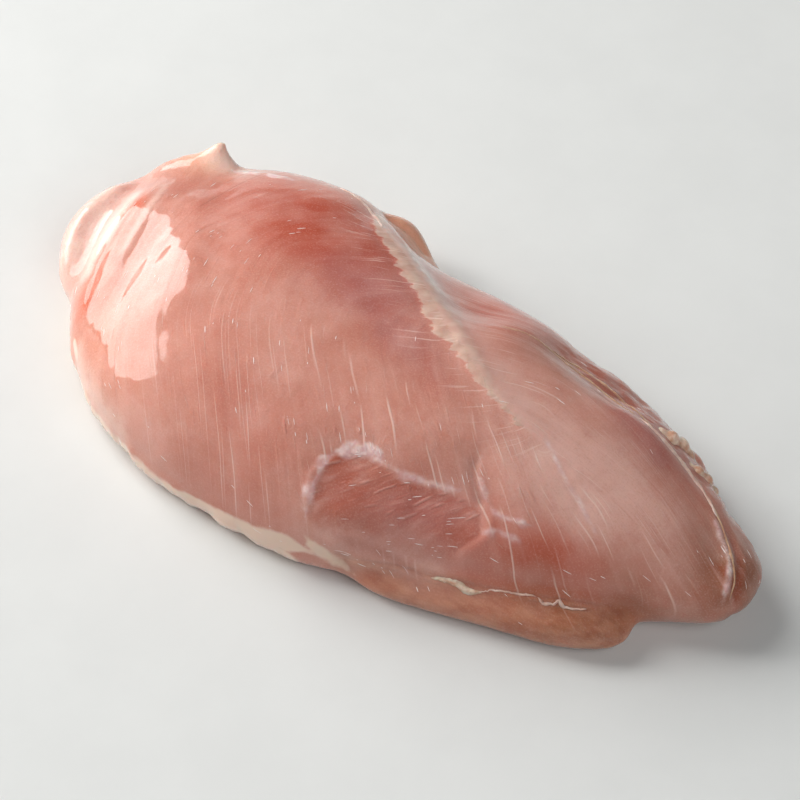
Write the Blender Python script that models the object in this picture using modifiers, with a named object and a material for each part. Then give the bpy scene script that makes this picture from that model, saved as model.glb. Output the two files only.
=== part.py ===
"""A raw chicken breast fillet, boneless and skinless, lying on its cut side with the smooth side up.

The main muscle is a loft of rings. Every ring follows the plan outline of the fillet: the lowest
lies on the table, the next few curl up round the rim, and the rest climb the dome to a crown line
that runs along the length. Lobes, a pointed tag and fat at the edges are tapered swept rolls set
into it. One voxel remesh fuses them all into a single piece, creases and hollows are carved along
its normals, and the sole is pressed flat.

Metres, +Z up. +X points to the thin tail end and +Y to the keel side, where the seam of fat runs.
The origin lies on the table, under the middle of the fillet's bounding box.
"""

import math

import bmesh
import bpy
import numpy as np
from mathutils import Vector

MM = 0.001

# Driving dimension, in millimetres: everything below is sketched at SKETCH_LENGTH and scaled to LENGTH
LENGTH = 187.0
SKETCH_LENGTH = 187.0
SCALE = LENGTH / SKETCH_LENGTH

# Plan outline of the main muscle at its widest, each point with the height of the widest place.
# It starts at the tail tip and goes round by the keel side, the shoulder end and the near side
OUTLINE = (
    (89.6, -5.0, 9.5),
    (88.3, 1.0, 9.0),
    (83.5, 5.8, 8.0),
    (77.0, 9.8, 7.0),
    (69.5, 14.5, 6.5),
    (62.0, 19.0, 6.0),
    (53.0, 24.0, 6.0),
    (43.0, 27.6, 6.5),
    (31.0, 29.8, 7.0),
    (18.0, 32.3, 7.0),
    (4.0, 34.3, 7.0),
    (-8.0, 36.3, 7.5),
    (-18.0, 38.5, 8.0),
    (-27.0, 39.5, 8.0),
    (-36.0, 43.2, 8.5),
    (-48.0, 44.3, 8.5),
    (-60.0, 42.7, 9.0),
    (-71.0, 38.6, 9.0),
    (-80.0, 32.0, 9.5),
    (-87.0, 24.5, 9.5),
    (-91.5, 17.0, 9.5),
    (-92.0, 6.0, 9.5),
    (-90.0, -4.0, 9.5),
    (-85.5, -12.5, 9.0),
    (-79.5, -21.5, 8.5),
    (-72.5, -29.0, 7.5),
    (-64.0, -35.3, 6.5),
    (-54.0, -40.5, 6.0),
    (-43.0, -44.2, 5.5),
    (-33.0, -46.0, 5.5),
    (-22.0, -46.8, 5.5),
    (-10.0, -47.3, 6.0),
    (2.0, -46.6, 6.5),
    (12.0, -44.2, 8.5),
    (24.0, -39.4, 10.5),
    (36.0, -35.4, 11.0),
    (48.0, -31.2, 11.0),
    (60.0, -26.4, 11.0),
    (68.0, -23.0, 10.5),
    (74.5, -20.4, 10.0),
    (80.0, -18.2, 10.0),
    (85.0, -15.4, 10.0),
    (88.5, -10.8, 10.0),
)
# Crown line in plan with its height, from the shoulder end to the tail
CROWN = (
    (-68.0, 6.0, 25.5),
    (-52.0, 5.0, 32.5),
    (-34.0, 2.5, 36.5),
    (-8.0, -2.5, 37.0),
    (20.0, -5.0, 35.5),
    (42.0, -6.0, 31.0),
    (60.0, -7.0, 25.0),
    (73.0, -7.0, 19.5),
    (80.0, -6.5, 16.0),
)
# How far the edge of the sole lies inside the widest outline; the tail end stands off the table
SOLE_INSET = 6.0
SOLE_INSET_TAIL = 13.0
TAIL_LIFTS = (70.0, 80.0)
# How full the dome is: 2 is an ellipse, less is more like a cone, more is more like a box
FULLNESS_NEAR = 2.35
FULLNESS_KEEL = 2.05
FULLNESS_ENDS = 2.1

# Relief: (name, path, half width, depth). Paths with two numbers a point are drawn on the smooth side
# in plan, and the one with three follows the side wall
RELIEF = (
    ("step behind the keel seam", ((-19.0, 38.0), (-8.0, 27.0), (6.0, 17.0)), 8.0, 3.2),
    (
        "seam of fat",
        ((-27.0, 33.0), (-18.0, 25.0), (-9.0, 18.0), (0.0, 11.5), (9.0, 4.0), (18.0, -2.0), (27.0, -6.0), (36.0, -9.0)),
        2.3,
        -0.8,
    ),
    ("torn window", ((6.0, -35.0), (18.0, -34.0), (30.0, -29.5)), 7.0, 1.8),
    ("crease by the window", ((29.0, -21.0), (33.0, -24.5), (38.0, -27.0)), 2.2, 0.9),
    ("hollow near the keel", ((30.0, 19.0), (37.0, 17.0), (44.0, 16.0)), 6.0, 2.4),
    ("hump near the tail", ((48.0, 10.0), (57.0, 9.0)), 5.0, -1.2),
    ("outer end groove", ((-87.5, 20.0), (-87.5, 8.0), (-86.0, -2.0), (-82.0, -13.0)), 2.4, 2.0),
    ("first end groove", ((-82.0, 24.0), (-83.0, 12.0), (-81.0, -2.0), (-76.0, -15.0)), 2.0, 1.2),
    ("second end groove", ((-77.0, 20.0), (-74.5, 5.0), (-71.0, -7.0), (-66.0, -18.0)), 1.8, 0.7),
    ("ridge round the tail end", ((70.0, 7.5), (76.0, 3.5), (81.5, -2.0), (85.0, -8.0)), 1.8, -0.9),
    (
        "fold over the lower side lobe",
        ((9.0, -45.0, 8.5), (22.0, -41.5, 10.0), (38.0, -36.8, 10.5), (55.0, -30.5, 11.0), (69.0, -24.0, 10.0)),
        2.4,
        2.2,
    ),
)

# Heights over which the relief drawn in plan fades in above the rim
RELIEF_FADES = (6.0, 14.0)

# Rolls of meat and fat set into the rim: (name, path with heights, radii along it, flattening in z)
ROLLS = (
    (
        "lower side lobe",
        ((4.0, -42.2, 4.6), (21.5, -39.2, 5.0), (42.8, -33.6, 5.2), (60.0, -28.4, 5.2), (72.0, -24.2, 5.2)),
        (2.5, 5.6, 6.0, 6.8, 5.0),
        0.9,
    ),
    (
        "inner fillet behind the keel",
        ((-37.0, 37.0, 12.5), (-28.0, 38.5, 10.5), (-19.5, 35.0, 8.5), (-12.0, 31.5, 8.0)),
        (5.0, 7.5, 6.5, 4.0),
        1.0,
    ),
    (
        "shoulder end lobe",
        ((-84.0, 22.0, 10.5), (-89.0, 12.0, 11.5), (-90.0, 2.0, 11.0), (-86.5, -6.0, 9.5), (-79.0, -14.0, 8.5)),
        (6.0, 7.0, 7.2, 6.5, 4.0),
        1.0,
    ),
    (
        "pointed tag",
        ((-88.5, 15.5, 12.5), (-82.5, 23.0, 16.0), (-77.0, 28.5, 19.0), (-73.0, 32.3, 22.0), (-70.5, 36.0, 25.0)),
        (6.0, 6.0, 5.5, 3.2, 0.9),
        0.7,
    ),
    (
        "keel edge fat",
        ((48.0, 23.5, 8.0), (56.0, 21.2, 7.2), (63.0, 17.4, 6.8), (69.5, 13.2, 6.0)),
        (2.2, 3.6, 3.6, 2.2),
        1.0,
    ),
)

# Mesh density
RING_POINTS = 176
RIM_RINGS = 6
DOME_RINGS = 30
CROWN_POINTS = 60
CURVE_STEPS = 24
ROLL_STATIONS = 22
ROLL_SIDES = 20
ROLL_ROUNDING = 0.12
ROLL_END_SHARE = 0.03
RELIEF_POINTS = 24
VOXEL = 1.6
SMOOTH_STEPS = 3
SMOOTH_STEPS_CARVED = 2
SOLE_PRESS = 0.9
TRIANGLES = 8600

MEAT_COLOUR = (0.72, 0.34, 0.27, 1.0)
MEAT_ROUGHNESS = 0.35


def catmull(p0, p1, p2, p3, t):
    """The Catmull-Rom point between p1 and p2."""
    return 0.5 * (
        2 * p1
        + (p2 - p0) * t
        + (2 * p0 - 5 * p1 + 4 * p2 - p3) * t * t
        + (3 * p1 - p0 - 3 * p2 + p3) * t**3
    )


def curve_through(points, count, closed=False):
    """Count points, evenly spaced by length, on a smooth curve through the given points."""
    knots = [Vector(p) for p in points]
    total = len(knots)
    spans = total if closed else total - 1

    def knot(i):
        return knots[i % total] if closed else knots[max(0, min(total - 1, i))]

    fine = []
    for i in range(spans):
        for k in range(CURVE_STEPS):
            fine.append(catmull(knot(i - 1), knot(i), knot(i + 1), knot(i + 2), k / CURVE_STEPS))
    fine.append(knot(spans))
    reach = [0.0]
    for a, b in zip(fine, fine[1:]):
        reach.append(reach[-1] + (b - a).length)
    steps = count if closed else count - 1
    out = []
    k = 0
    for n in range(count):
        want = reach[-1] * n / steps
        while k < len(fine) - 2 and reach[k + 1] < want:
            k += 1
        span = max(reach[k + 1] - reach[k], 1e-9)
        out.append(fine[k].lerp(fine[k + 1], (want - reach[k]) / span))
    return out


def smoothstep(low, high, value):
    t = max(0.0, min(1.0, (value - low) / (high - low)))
    return t * t * (3 - 2 * t)


def nearest_on(path, point):
    """(distance, share of the way along) of the closest place on a path of plan points."""
    best = math.inf
    where = 0.0
    for i, (a, b) in enumerate(zip(path, path[1:])):
        along = b - a
        t = max(0.0, min(1.0, (point - a).dot(along) / max(along.length_squared, 1e-9)))
        gap = (a + along * t - point).length
        if gap < best:
            best = gap
            where = (i + t) / (len(path) - 1)
    return best, where


def crown_feet(outline, crown):
    """For each outline point, the nearest crown point: its section of the dome climbs to that."""
    plan = [c.xy for c in crown]
    feet = []
    for edge in outline:
        place = nearest_on(plan, edge.xy)[1] * (len(crown) - 1)
        i = min(int(place), len(crown) - 2)
        feet.append(crown[i].lerp(crown[i + 1], place - i))
    return feet


def fullness_at(edge):
    side = FULLNESS_KEEL if edge.y > 0 else FULLNESS_NEAR
    to_end = max(smoothstep(55, 88, edge.x), smoothstep(60, 88, -edge.x))
    return side + (FULLNESS_ENDS - side) * to_end


def sole_inset_at(edge):
    lifts = smoothstep(*TAIL_LIFTS, edge.x)
    return SOLE_INSET + (SOLE_INSET_TAIL - SOLE_INSET) * lifts


def muscle_rings():
    """Rings of points, from the sole up to the crown line."""
    outline = curve_through(OUTLINE, RING_POINTS, closed=True)
    feet = crown_feet(outline, curve_through(CROWN, CROWN_POINTS))
    rings = []
    for k in range(RIM_RINGS + 1):
        turn = math.radians(90 * k / (RIM_RINGS + 1))
        ring = []
        for edge, foot in zip(outline, feet):
            inward = (foot.xy - edge.xy).normalized()
            place = edge.xy + inward * sole_inset_at(edge) * (1 - math.sin(turn))
            ring.append(Vector((place.x, place.y, edge.z * (1 - math.cos(turn)))))
        rings.append(ring)
    for k in range(DOME_RINGS):
        turn = math.radians(90 * k / DOME_RINGS)
        ring = []
        for edge, foot in zip(outline, feet):
            power = 2 / fullness_at(edge)
            place = foot.xy.lerp(edge.xy, math.cos(turn) ** power)
            height = edge.z + (foot.z - edge.z) * math.sin(turn) ** power
            ring.append(Vector((place.x, place.y, height)))
        rings.append(ring)
    rings.append([foot.copy() for foot in feet])
    return rings


def mesh_object(name, mesh_maker, collection):
    bm = bmesh.new()
    mesh_maker(bm)
    bmesh.ops.recalc_face_normals(bm, faces=bm.faces)
    mesh = bpy.data.meshes.new(name)
    bm.to_mesh(mesh)
    bm.free()
    made = bpy.data.objects.new(name, mesh)
    collection.objects.link(made)
    return made


def loft(bm, rings):
    """Skins closed rings of equal count, with a flat cap on the first; gives the rows of points."""
    rows = [[bm.verts.new(p * SCALE * MM) for p in ring] for ring in rings]
    count = len(rings[0])
    for low, high in zip(rows, rows[1:]):
        for i in range(count):
            j = (i + 1) % count
            bm.faces.new((low[i], low[j], high[j], high[i]))
    bm.faces.new(list(reversed(rows[0])))
    return rows


def build_muscle(bm):
    top = loft(bm, muscle_rings())[-1]
    # The last ring runs out along the crown line and back, so its two sides are sewn together
    bmesh.ops.remove_doubles(bm, verts=top, dist=0.6 * MM)


def build_roll(path, radii, flat):
    """A maker for a tapered roll with round ends, swept along a path."""

    def maker(bm):
        centres = curve_through(path, ROLL_STATIONS)
        rings = []
        for n, centre in enumerate(centres):
            ahead = centres[min(n + 1, ROLL_STATIONS - 1)]
            behind = centres[max(n - 1, 0)]
            along = (ahead - behind).normalized()
            side = along.cross(Vector((0, 0, 1))).normalized()
            up = side.cross(along).normalized()
            radius = radius_at(radii, n / (ROLL_STATIONS - 1))
            ring = []
            for i in range(ROLL_SIDES):
                turn = 2 * math.pi * i / ROLL_SIDES
                ring.append(centre + radius * (side * math.cos(turn) + up * flat * math.sin(turn)))
            rings.append(ring)
        rows = loft(bm, rings)
        bm.faces.new(rows[-1])

    return maker


def radius_at(radii, share):
    """Radius along a roll: eased between the given ones, and rounded off at both ends."""
    place = share * (len(radii) - 1)
    i = min(int(place), len(radii) - 2)
    middle = radii[i] + (radii[i + 1] - radii[i]) * smoothstep(0, 1, place - i)
    to_end = min(min(share, 1 - share) / ROLL_ROUNDING, 1.0)
    rounded = math.sqrt(1 - (1 - to_end) ** 2)
    return middle * (ROLL_END_SHARE + (1 - ROLL_END_SHARE) * rounded)


def fuse(pieces, name, collection):
    """Joins closed pieces into one skin by a voxel remesh and smooths it."""
    bm = bmesh.new()
    for piece in pieces:
        bm.from_mesh(piece.data)
        bpy.data.objects.remove(piece)
    mesh = bpy.data.meshes.new(name)
    bm.to_mesh(mesh)
    bm.free()
    whole = bpy.data.objects.new(name, mesh)
    collection.objects.link(whole)
    remesh = whole.modifiers.new("fuse", "REMESH")
    remesh.mode = "VOXEL"
    remesh.voxel_size = VOXEL * MM
    ease = whole.modifiers.new("ease", "SMOOTH")
    ease.factor = 0.5
    ease.iterations = SMOOTH_STEPS
    graph = bpy.context.evaluated_depsgraph_get()
    whole.data = bpy.data.meshes.new_from_object(whole.evaluated_get(graph))
    whole.modifiers.clear()
    return whole


def gaps_to(path, places):
    """Each place's distance from a path of points, over as many axes as the path has."""
    best = np.full(len(places), np.inf)
    for a, b in zip(path, path[1:]):
        along = b - a
        from_start = places - a
        t = np.clip(from_start @ along / max(along @ along, 1e-9), 0.0, 1.0)
        best = np.minimum(best, np.linalg.norm(from_start - t[:, None] * along, axis=1))
    return best


def carve_relief(whole):
    """Sinks or lifts the skin along its normals beside each relief path."""
    verts = whole.data.vertices
    places = np.array([v.co for v in verts]) / (SCALE * MM)
    normals = np.array([v.normal for v in verts])
    sink = np.zeros(len(verts))
    above = np.clip((places[:, 2] - RELIEF_FADES[0]) / (RELIEF_FADES[1] - RELIEF_FADES[0]), 0.0, 1.0)
    for _, points, half, depth in RELIEF:
        path = np.array(curve_through(points, RELIEF_POINTS))
        axes = path.shape[1]
        depths = depth * np.exp(-((gaps_to(path, places[:, :axes]) / half) ** 2))
        sink += depths * above if axes == 2 else depths
    for v, normal, depth in zip(verts, normals, sink):
        v.co -= Vector(normal) * depth * SCALE * MM


def ease_carving(whole):
    """Evens out the carved skin."""
    bm = bmesh.new()
    bm.from_mesh(whole.data)
    for _ in range(SMOOTH_STEPS_CARVED):
        bmesh.ops.smooth_vert(bm, verts=bm.verts, factor=0.5, use_axis_x=True, use_axis_y=True, use_axis_z=True)
    bm.to_mesh(whole.data)
    bm.free()


def press_sole(whole):
    """Presses the lowest skin flat on the table and moves the origin under the box's middle."""
    verts = whole.data.vertices
    low = min(v.co.z for v in verts)
    for v in verts:
        v.co.z = max(0.0, v.co.z - low - SOLE_PRESS * MM)
    xs = [v.co.x for v in verts]
    ys = [v.co.y for v in verts]
    middle = Vector(((min(xs) + max(xs)) / 2, (min(ys) + max(ys)) / 2, 0.0))
    for v in verts:
        v.co -= middle


def thin_out(whole):
    """Flat sole faces become a few large ones, and the rest is collapsed to the triangle budget."""
    bm = bmesh.new()
    bm.from_mesh(whole.data)
    flat = [f for f in bm.faces if all(v.co.z == 0.0 for v in f.verts)]
    edges = list({e for f in flat for e in f.edges})
    verts = list({v for f in flat for v in f.verts})
    bmesh.ops.dissolve_limit(bm, angle_limit=math.radians(0.5), verts=verts, edges=edges)
    bmesh.ops.triangulate(bm, faces=bm.faces)
    count = len(bm.faces)
    bm.to_mesh(whole.data)
    bm.free()
    if count > TRIANGLES:
        thin = whole.modifiers.new("thin", "DECIMATE")
        thin.ratio = TRIANGLES / count


def meat_material():
    meat = bpy.data.materials.new("raw_chicken")
    meat.use_nodes = True
    shader = meat.node_tree.nodes["Principled BSDF"]
    shader.inputs["Base Color"].default_value = MEAT_COLOUR
    shader.inputs["Roughness"].default_value = MEAT_ROUGHNESS
    shader.inputs["Metallic"].default_value = 0.0
    return meat


def main():
    for old in list(bpy.data.objects):
        bpy.data.objects.remove(old)
    collection = bpy.data.collections.new("chicken_breast")
    bpy.context.scene.collection.children.link(collection)
    pieces = [mesh_object("main_muscle", build_muscle, collection)]
    for name, path, radii, flat in ROLLS:
        pieces.append(mesh_object(name, build_roll(path, radii, flat), collection))
    fillet = fuse(pieces, "breast_fillet", collection)
    carve_relief(fillet)
    ease_carving(fillet)
    press_sole(fillet)
    thin_out(fillet)
    fillet.data.materials.append(meat_material())
    fillet.data.shade_smooth()


main()
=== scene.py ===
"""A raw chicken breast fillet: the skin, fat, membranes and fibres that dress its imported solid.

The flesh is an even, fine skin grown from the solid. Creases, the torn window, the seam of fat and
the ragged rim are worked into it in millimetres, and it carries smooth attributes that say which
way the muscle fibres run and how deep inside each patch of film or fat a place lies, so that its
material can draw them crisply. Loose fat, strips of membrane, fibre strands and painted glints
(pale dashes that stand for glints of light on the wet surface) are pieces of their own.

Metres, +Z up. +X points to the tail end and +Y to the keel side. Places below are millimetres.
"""

import math

import bmesh
import bpy
import numpy as np
from mathutils import Matrix, Vector
from mathutils.bvhtree import BVHTree


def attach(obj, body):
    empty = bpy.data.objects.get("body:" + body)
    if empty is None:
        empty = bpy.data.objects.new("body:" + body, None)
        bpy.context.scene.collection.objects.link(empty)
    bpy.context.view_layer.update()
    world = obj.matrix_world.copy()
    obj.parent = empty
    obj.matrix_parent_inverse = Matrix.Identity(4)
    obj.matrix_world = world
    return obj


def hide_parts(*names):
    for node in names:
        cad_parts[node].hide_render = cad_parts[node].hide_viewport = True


bl_info = {
    "name": "Raw chicken breast fillet",
    "version": (1, 0, 0),
    "blender": (4, 5, 0),
    "location": "View3D > Sidebar > Fillet",
    "description": "Dresses the solid of a raw chicken breast fillet",
    "category": "Add Mesh",
}

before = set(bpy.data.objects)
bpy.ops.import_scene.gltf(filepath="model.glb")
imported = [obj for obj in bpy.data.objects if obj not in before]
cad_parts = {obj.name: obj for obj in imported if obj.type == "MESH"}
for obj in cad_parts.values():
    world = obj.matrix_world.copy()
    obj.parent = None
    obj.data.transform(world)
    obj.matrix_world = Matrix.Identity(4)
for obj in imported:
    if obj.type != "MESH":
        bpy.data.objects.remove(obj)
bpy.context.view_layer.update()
SOLID = "breast_fillet"
BODY = "root"
MM = 0.001
CM2 = 1e-4

# The seam of fat, from the keel edge to where it fades, each point with its half width
SEAM = (
    (-25.0, 33.5, 1.5),
    (-21.0, 27.0, 1.8),
    (-15.0, 23.3, 2.5),
    (-9.8, 20.5, 3.3),
    (-5.0, 17.0, 3.7),
    (0.6, 12.9, 2.9),
    (6.1, 8.1, 3.2),
    (11.4, 4.0, 2.9),
    (16.4, 1.6, 2.2),
    (20.3, -0.7, 2.2),
    (26.1, -4.2, 1.3),
    (31.5, -6.6, 0.9),
    (38.0, -8.6, 0.55),
    (43.0, -9.2, 0.4),
)
# The seam's length along its curve, which its joints and teeth are spaced by
SEAM_LENGTH = 85.0
# Short strokes along the muscle fibres of the near side, down and away from the seam
NEAR_FIBRES = (
    ((-5.2, 12.6), (-12.2, 9.2)),
    ((-12.2, 9.2), (-20.1, 6.1)),
    ((-16.1, 19.4), (-30.4, 11.6)),
    ((-40.0, 20.0), (-50.0, 8.0)),
    ((-66.0, 16.0), (-64.0, -12.0)),
    ((-78.0, 16.0), (-74.0, -10.0)),
    ((-50.0, -6.0), (-46.9, -14.3)),
    ((-38.0, -7.6), (-37.7, -13.1)),
    ((-35.5, -1.5), (-35.0, -8.0)),
    ((-35.0, -8.0), (-32.8, -16.2)),
    ((-32.8, -16.2), (-27.6, -24.3)),
    ((-44.0, -33.1), (-34.8, -42.4)),
    ((-38.1, -23.0), (-30.0, -32.0)),
    ((-30.0, -32.0), (-25.3, -38.1)),
    ((-19.1, -7.3), (-18.6, -10.5)),
    ((-26.4, -18.6), (-12.4, -37.8)),
    ((-17.1, -14.6), (-4.5, -32.1)),
    ((-4.4, -15.9), (4.7, -28.7)),
    ((2.8, -11.7), (13.4, -26.7)),
    ((9.1, -14.0), (18.7, -27.2)),
    ((16.6, -13.7), (23.2, -20.5)),
    ((19.4, -12.5), (28.5, -22.3)),
    ((38.9, -16.5), (46.2, -22.0)),
    ((46.0, -11.1), (53.2, -14.2)),
    ((53.2, -14.2), (60.3, -16.9)),
    ((57.8, -9.8), (68.5, -13.4)),
    ((68.8, -10.5), (80.1, -13.4)),
)
# The same for the keel side, from the seam to the tail
KEEL_FIBRES = (
    ((-7.0, 29.5), (8.0, 23.5)),
    ((2.8, 18.1), (8.0, 20.0)),
    ((10.6, 14.7), (14.3, 16.0)),
    ((14.8, 3.8), (21.2, 8.3)),
    ((18.3, 14.1), (26.3, 16.6)),
    ((26.3, 16.6), (36.3, 16.2)),
    ((28.5, -2.1), (33.6, 1.4)),
    ((33.6, 1.4), (38.7, 3.0)),
    ((38.7, 3.0), (44.0, 1.4)),
    ((28.7, 3.3), (33.5, 7.1)),
    ((40.7, 15.1), (50.3, 11.2)),
    ((43.8, -3.7), (52.7, -3.0)),
    ((54.1, -4.3), (66.2, -2.9)),
    ((66.2, -3.9), (77.1, -8.3)),
    ((45.6, 10.7), (61.7, 4.1)),
    ((61.7, 4.1), (76.2, -3.9)),
    ((60.6, 10.7), (73.6, 7.0)),
    ((74.0, 4.7), (81.9, -0.7)),
)
# Where the fine pale fibres of the fascia begin, below the darker muscle by the seam
FASCIA_TOP = (
    (-62.0, -8.0),
    (-46.0, -9.0),
    (-36.0, -9.0),
    (-27.0, -10.0),
    (-18.0, -12.0),
    (-10.0, -9.5),
    (-4.0, -13.5),
    (3.0, -10.5),
    (9.0, -12.5),
    (19.0, -11.0),
    (28.0, -11.5),
    (36.0, -11.0),
    (43.0, -9.5),
)
# The torn window in the fascia: its edge, from the left lip round by the crease
WINDOW = (
    (5.5, -33.0),
    (9.0, -30.5),
    (14.0, -30.0),
    (20.0, -30.5),
    (27.0, -28.8),
    (33.5, -27.2),
    (38.5, -27.5),
    (40.5, -30.5),
    (36.0, -34.5),
    (28.0, -37.8),
    (18.0, -41.0),
    (10.0, -43.4),
    (5.5, -42.5),
    (4.0, -38.5),
)
# Which way the muscle fibres run in the window
TORN_TURN = math.radians(40.0)
# The part of the window's edge where the fascia stands over the muscle
TORN_EDGE = (
    (5.4, -43.0),
    (4.6, -38.5),
    (6.0, -33.6),
    (9.6, -30.8),
    (14.0, -30.0),
    (21.0, -30.2),
    (28.0, -28.7),
    (34.0, -27.0),
    (38.6, -27.0),
)
# Raised lips of fascia: (path, half width, height)
LIPS = (
    (((5.4, -33.6), (4.3, -35.8), (3.9, -38.4), (4.4, -41.0), (5.4, -43.2)), 1.3, 0.4),
    (((6.0, -32.4), (8.4, -30.6), (11.0, -29.4), (13.6, -29.0), (16.0, -29.8)), 1.3, 0.12),
    (((17.5, -29.8), (21.4, -29.6), (24.6, -28.8), (28.4, -27.9), (33.0, -26.2)), 0.55, 0.2),
    (((42.6, -8.0), (45.2, -9.4), (50.4, -12.7), (55.6, -15.2), (61.0, -18.0)), 0.3, 0.08),
    (((33.6, -19.0), (34.6, -21.0), (36.6, -23.2), (39.4, -25.3)), 0.3, 0.3),
    (((39.6, -25.6), (42.0, -26.1), (44.9, -25.7), (49.6, -24.6)), 0.3, 0.3),
    (((41.0, -30.0), (44.2, -28.4), (48.4, -27.6)), 0.4, 0.2),
    (((-64.5, 30.6), (-61.0, 31.6), (-57.6, 31.9), (-52.8, 31.5), (-48.0, 31.6)), 1.1, 0.3),
    (((79.0, 2.4), (82.0, -0.4), (85.7, -4.0), (88.0, -8.5), (89.0, -12.0)), 0.45, 0.1),
)
# Creases of the smooth side: (path, half width, depth)
CREASES = (
    (((32.4, -18.5), (33.4, -21.6), (36.0, -24.6), (39.4, -26.9)), 0.9, 0.8),
    (((39.5, -26.8), (42.0, -28.6), (41.0, -31.6), (36.0, -34.8)), 0.9, -0.4),
    (
        ((-72.5, 18.0), (-71.5, 12.6), (-70.1, 6.4), (-67.9, -1.3), (-66.6, -7.8), (-64.8, -14.3)),
        0.35,
        0.12,
    ),
    (
        ((-76.0, 12.0), (-74.6, 0.3), (-73.8, -4.4), (-73.6, -8.7), (-72.0, -14.9), (-69.1, -21.2)),
        0.9,
        0.16,
    ),
    (((-79.7, 12.1), (-79.0, 4.9), (-78.2, -1.7), (-77.4, -7.0), (-75.0, -15.0)), 1.0, -0.12),
    (((-85.6, 20.0), (-87.0, 12.0), (-87.4, 3.0), (-86.0, -5.0), (-82.0, -12.0)), 2.2, -0.7),
    (((76.5, 4.5), (81.0, 0.8), (85.5, -3.6), (88.0, -8.5), (89.2, -13.0)), 0.9, -0.55),
    (((78.5, 5.0), (83.0, 1.6), (87.4, -2.8), (90.2, -8.0), (91.2, -12.5)), 0.8, 0.6),
    (((-38.5, -2.0), (-36.8, -9.0), (-34.6, -16.5)), 0.5, 0.1),
    (((-29.0, 38.5), (-24.0, 40.5), (-19.0, 40.8), (-14.5, 39.5)), 1.0, 0.8),
)
# The soft ridge between the shoulder and the dome
SHOULDER_RIDGE = (
    (-66.8, 20.0),
    (-60.1, 9.6),
    (-54.5, 0.8),
    (-51.0, -5.6),
    (-46.4, -12.7),
    (-40.8, -23.7),
)
# The fold over the lower side lobe
SIDE_FOLD = (
    (12.0, -44.0, 8.6),
    (18.0, -41.6, 9.8),
    (24.0, -39.0, 10.4),
    (31.0, -37.4, 9.6),
    (38.0, -35.6, 9.8),
    (46.0, -32.6, 10.0),
    (54.0, -30.0, 10.2),
    (62.0, -26.8, 10.4),
    (70.0, -24.0, 10.2),
)
# Cream fat that lies in the surface: (path, half width)
CREAM = (
    (
        (
            (-32.0, -44.6, 4.0), (-20.0, -45.8, 5.5), (-8.0, -46.2, 7.0), (1.0, -45.8, 9.0),
            (8.0, -45.0, 9.0),
        ),
        2.6,
    ),
    (((6.0, -44.5, 13.0), (9.0, -44.6, 10.0), (13.0, -44.2, 7.0), (17.0, -43.6, 5.5)), 1.6),
    (((-70.0, -25.5, 12.0), (-66.0, -29.0, 10.0)), 1.2),
)
# Cuts of membrane that hug the flesh: (name, path with half widths, height, colour, raggedness).
# A path point is x, y and half width, or x, y, z and half width on the steep sides
STRIPS = (
    (
        "keel_film_a",
        (
            (18.3, 14.6, 0.3), (26.3, 17.0, 0.45), (36.3, 17.0, 0.5), (45.0, 15.6, 0.4),
            (53.0, 13.2, 0.3),
        ),
        0.16,
        "lobe",
        0.9,
    ),
    (
        "keel_film_b",
        (
            (29.4, 17.6, 0.25), (36.0, 19.2, 0.5), (43.5, 18.6, 0.6), (50.0, 16.8, 0.4),
            (58.0, 13.0, 0.4),
        ),
        0.2,
        "lobe",
        0.9,
    ),
    (
        "keel_film_c",
        (
            (54.0, 13.4, 0.3), (60.1, 12.0, 0.55), (67.2, 10.4, 0.6), (73.6, 7.4, 0.5),
            (79.0, 3.6, 0.4),
        ),
        0.35,
        "film",
        0.9,
    ),
    (
        "tail_ridge",
        (
            (75.0, 6.8, 0.15), (79.5, 3.4, 0.3), (84.8, -1.8, 0.35), (88.8, -7.0, 0.3),
            (90.0, -11.0, 0.15),
        ),
        0.25,
        "lobe",
        0.8,
    ),
    (
        "side_ridge_a",
        (
            (33.0, -37.2, 9.0, 0.3), (35.0, -36.4, 9.4, 0.6), (38.3, -35.9, 9.4, 0.9),
            (41.3, -35.4, 8.8, 0.8), (44.0, -34.4, 9.0, 0.3),
        ),
        0.5,
        "fat",
        0.7,
    ),
    (
        "side_ridge_b",
        (
            (43.0, -34.6, 9.2, 0.12), (47.0, -33.0, 9.8, 0.25), (51.0, -31.2, 10.0, 0.3),
            (54.5, -30.0, 10.0, 0.2),
        ),
        0.3,
        "film",
        0.7,
    ),
    (
        "side_ridge_c",
        (
            (55.0, -30.0, 10.0, 0.25), (57.0, -30.2, 9.4, 0.5), (59.2, -28.6, 9.8, 0.45),
            (62.0, -28.6, 9.2, 0.3), (65.0, -27.0, 10.0, 0.15),
        ),
        0.35,
        "film",
        0.8,
    ),
    (
        "dome_edge",
        ((-39.0, 37.6, 0.3), (-30.5, 34.6, 0.5), (-24.0, 30.4, 0.6), (-20.5, 27.2, 0.4)),
        0.25,
        "film",
        0.6,
    ),
)
# Lumps of loose fat: (name, balls as place and radius, colour)
LUMPS = (
    (
        "keel_fat_a",
        (
            ((56.5, 14.6, 20.6), 1.1),
            ((58.6, 15.0, 20.2), 1.6),
            ((60.8, 15.6, 18.9), 2.1),
            ((62.8, 16.6, 16.8), 2.2),
            ((64.6, 16.6, 14.6), 2.0),
            ((66.2, 16.0, 12.8), 1.6),
            ((60.2, 18.0, 15.0), 2.0),
            ((57.0, 18.0, 16.8), 1.6),
        ),
        "fat",
    ),
    (
        "keel_fat_b",
        (
            ((67.2, 12.6, 17.2), 1.2),
            ((69.2, 12.6, 16.4), 1.6),
            ((71.2, 12.8, 14.6), 1.8),
            ((73.2, 13.0, 12.0), 1.6),
            ((75.0, 12.2, 9.8), 1.3),
        ),
        "fat",
    ),
)

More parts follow.
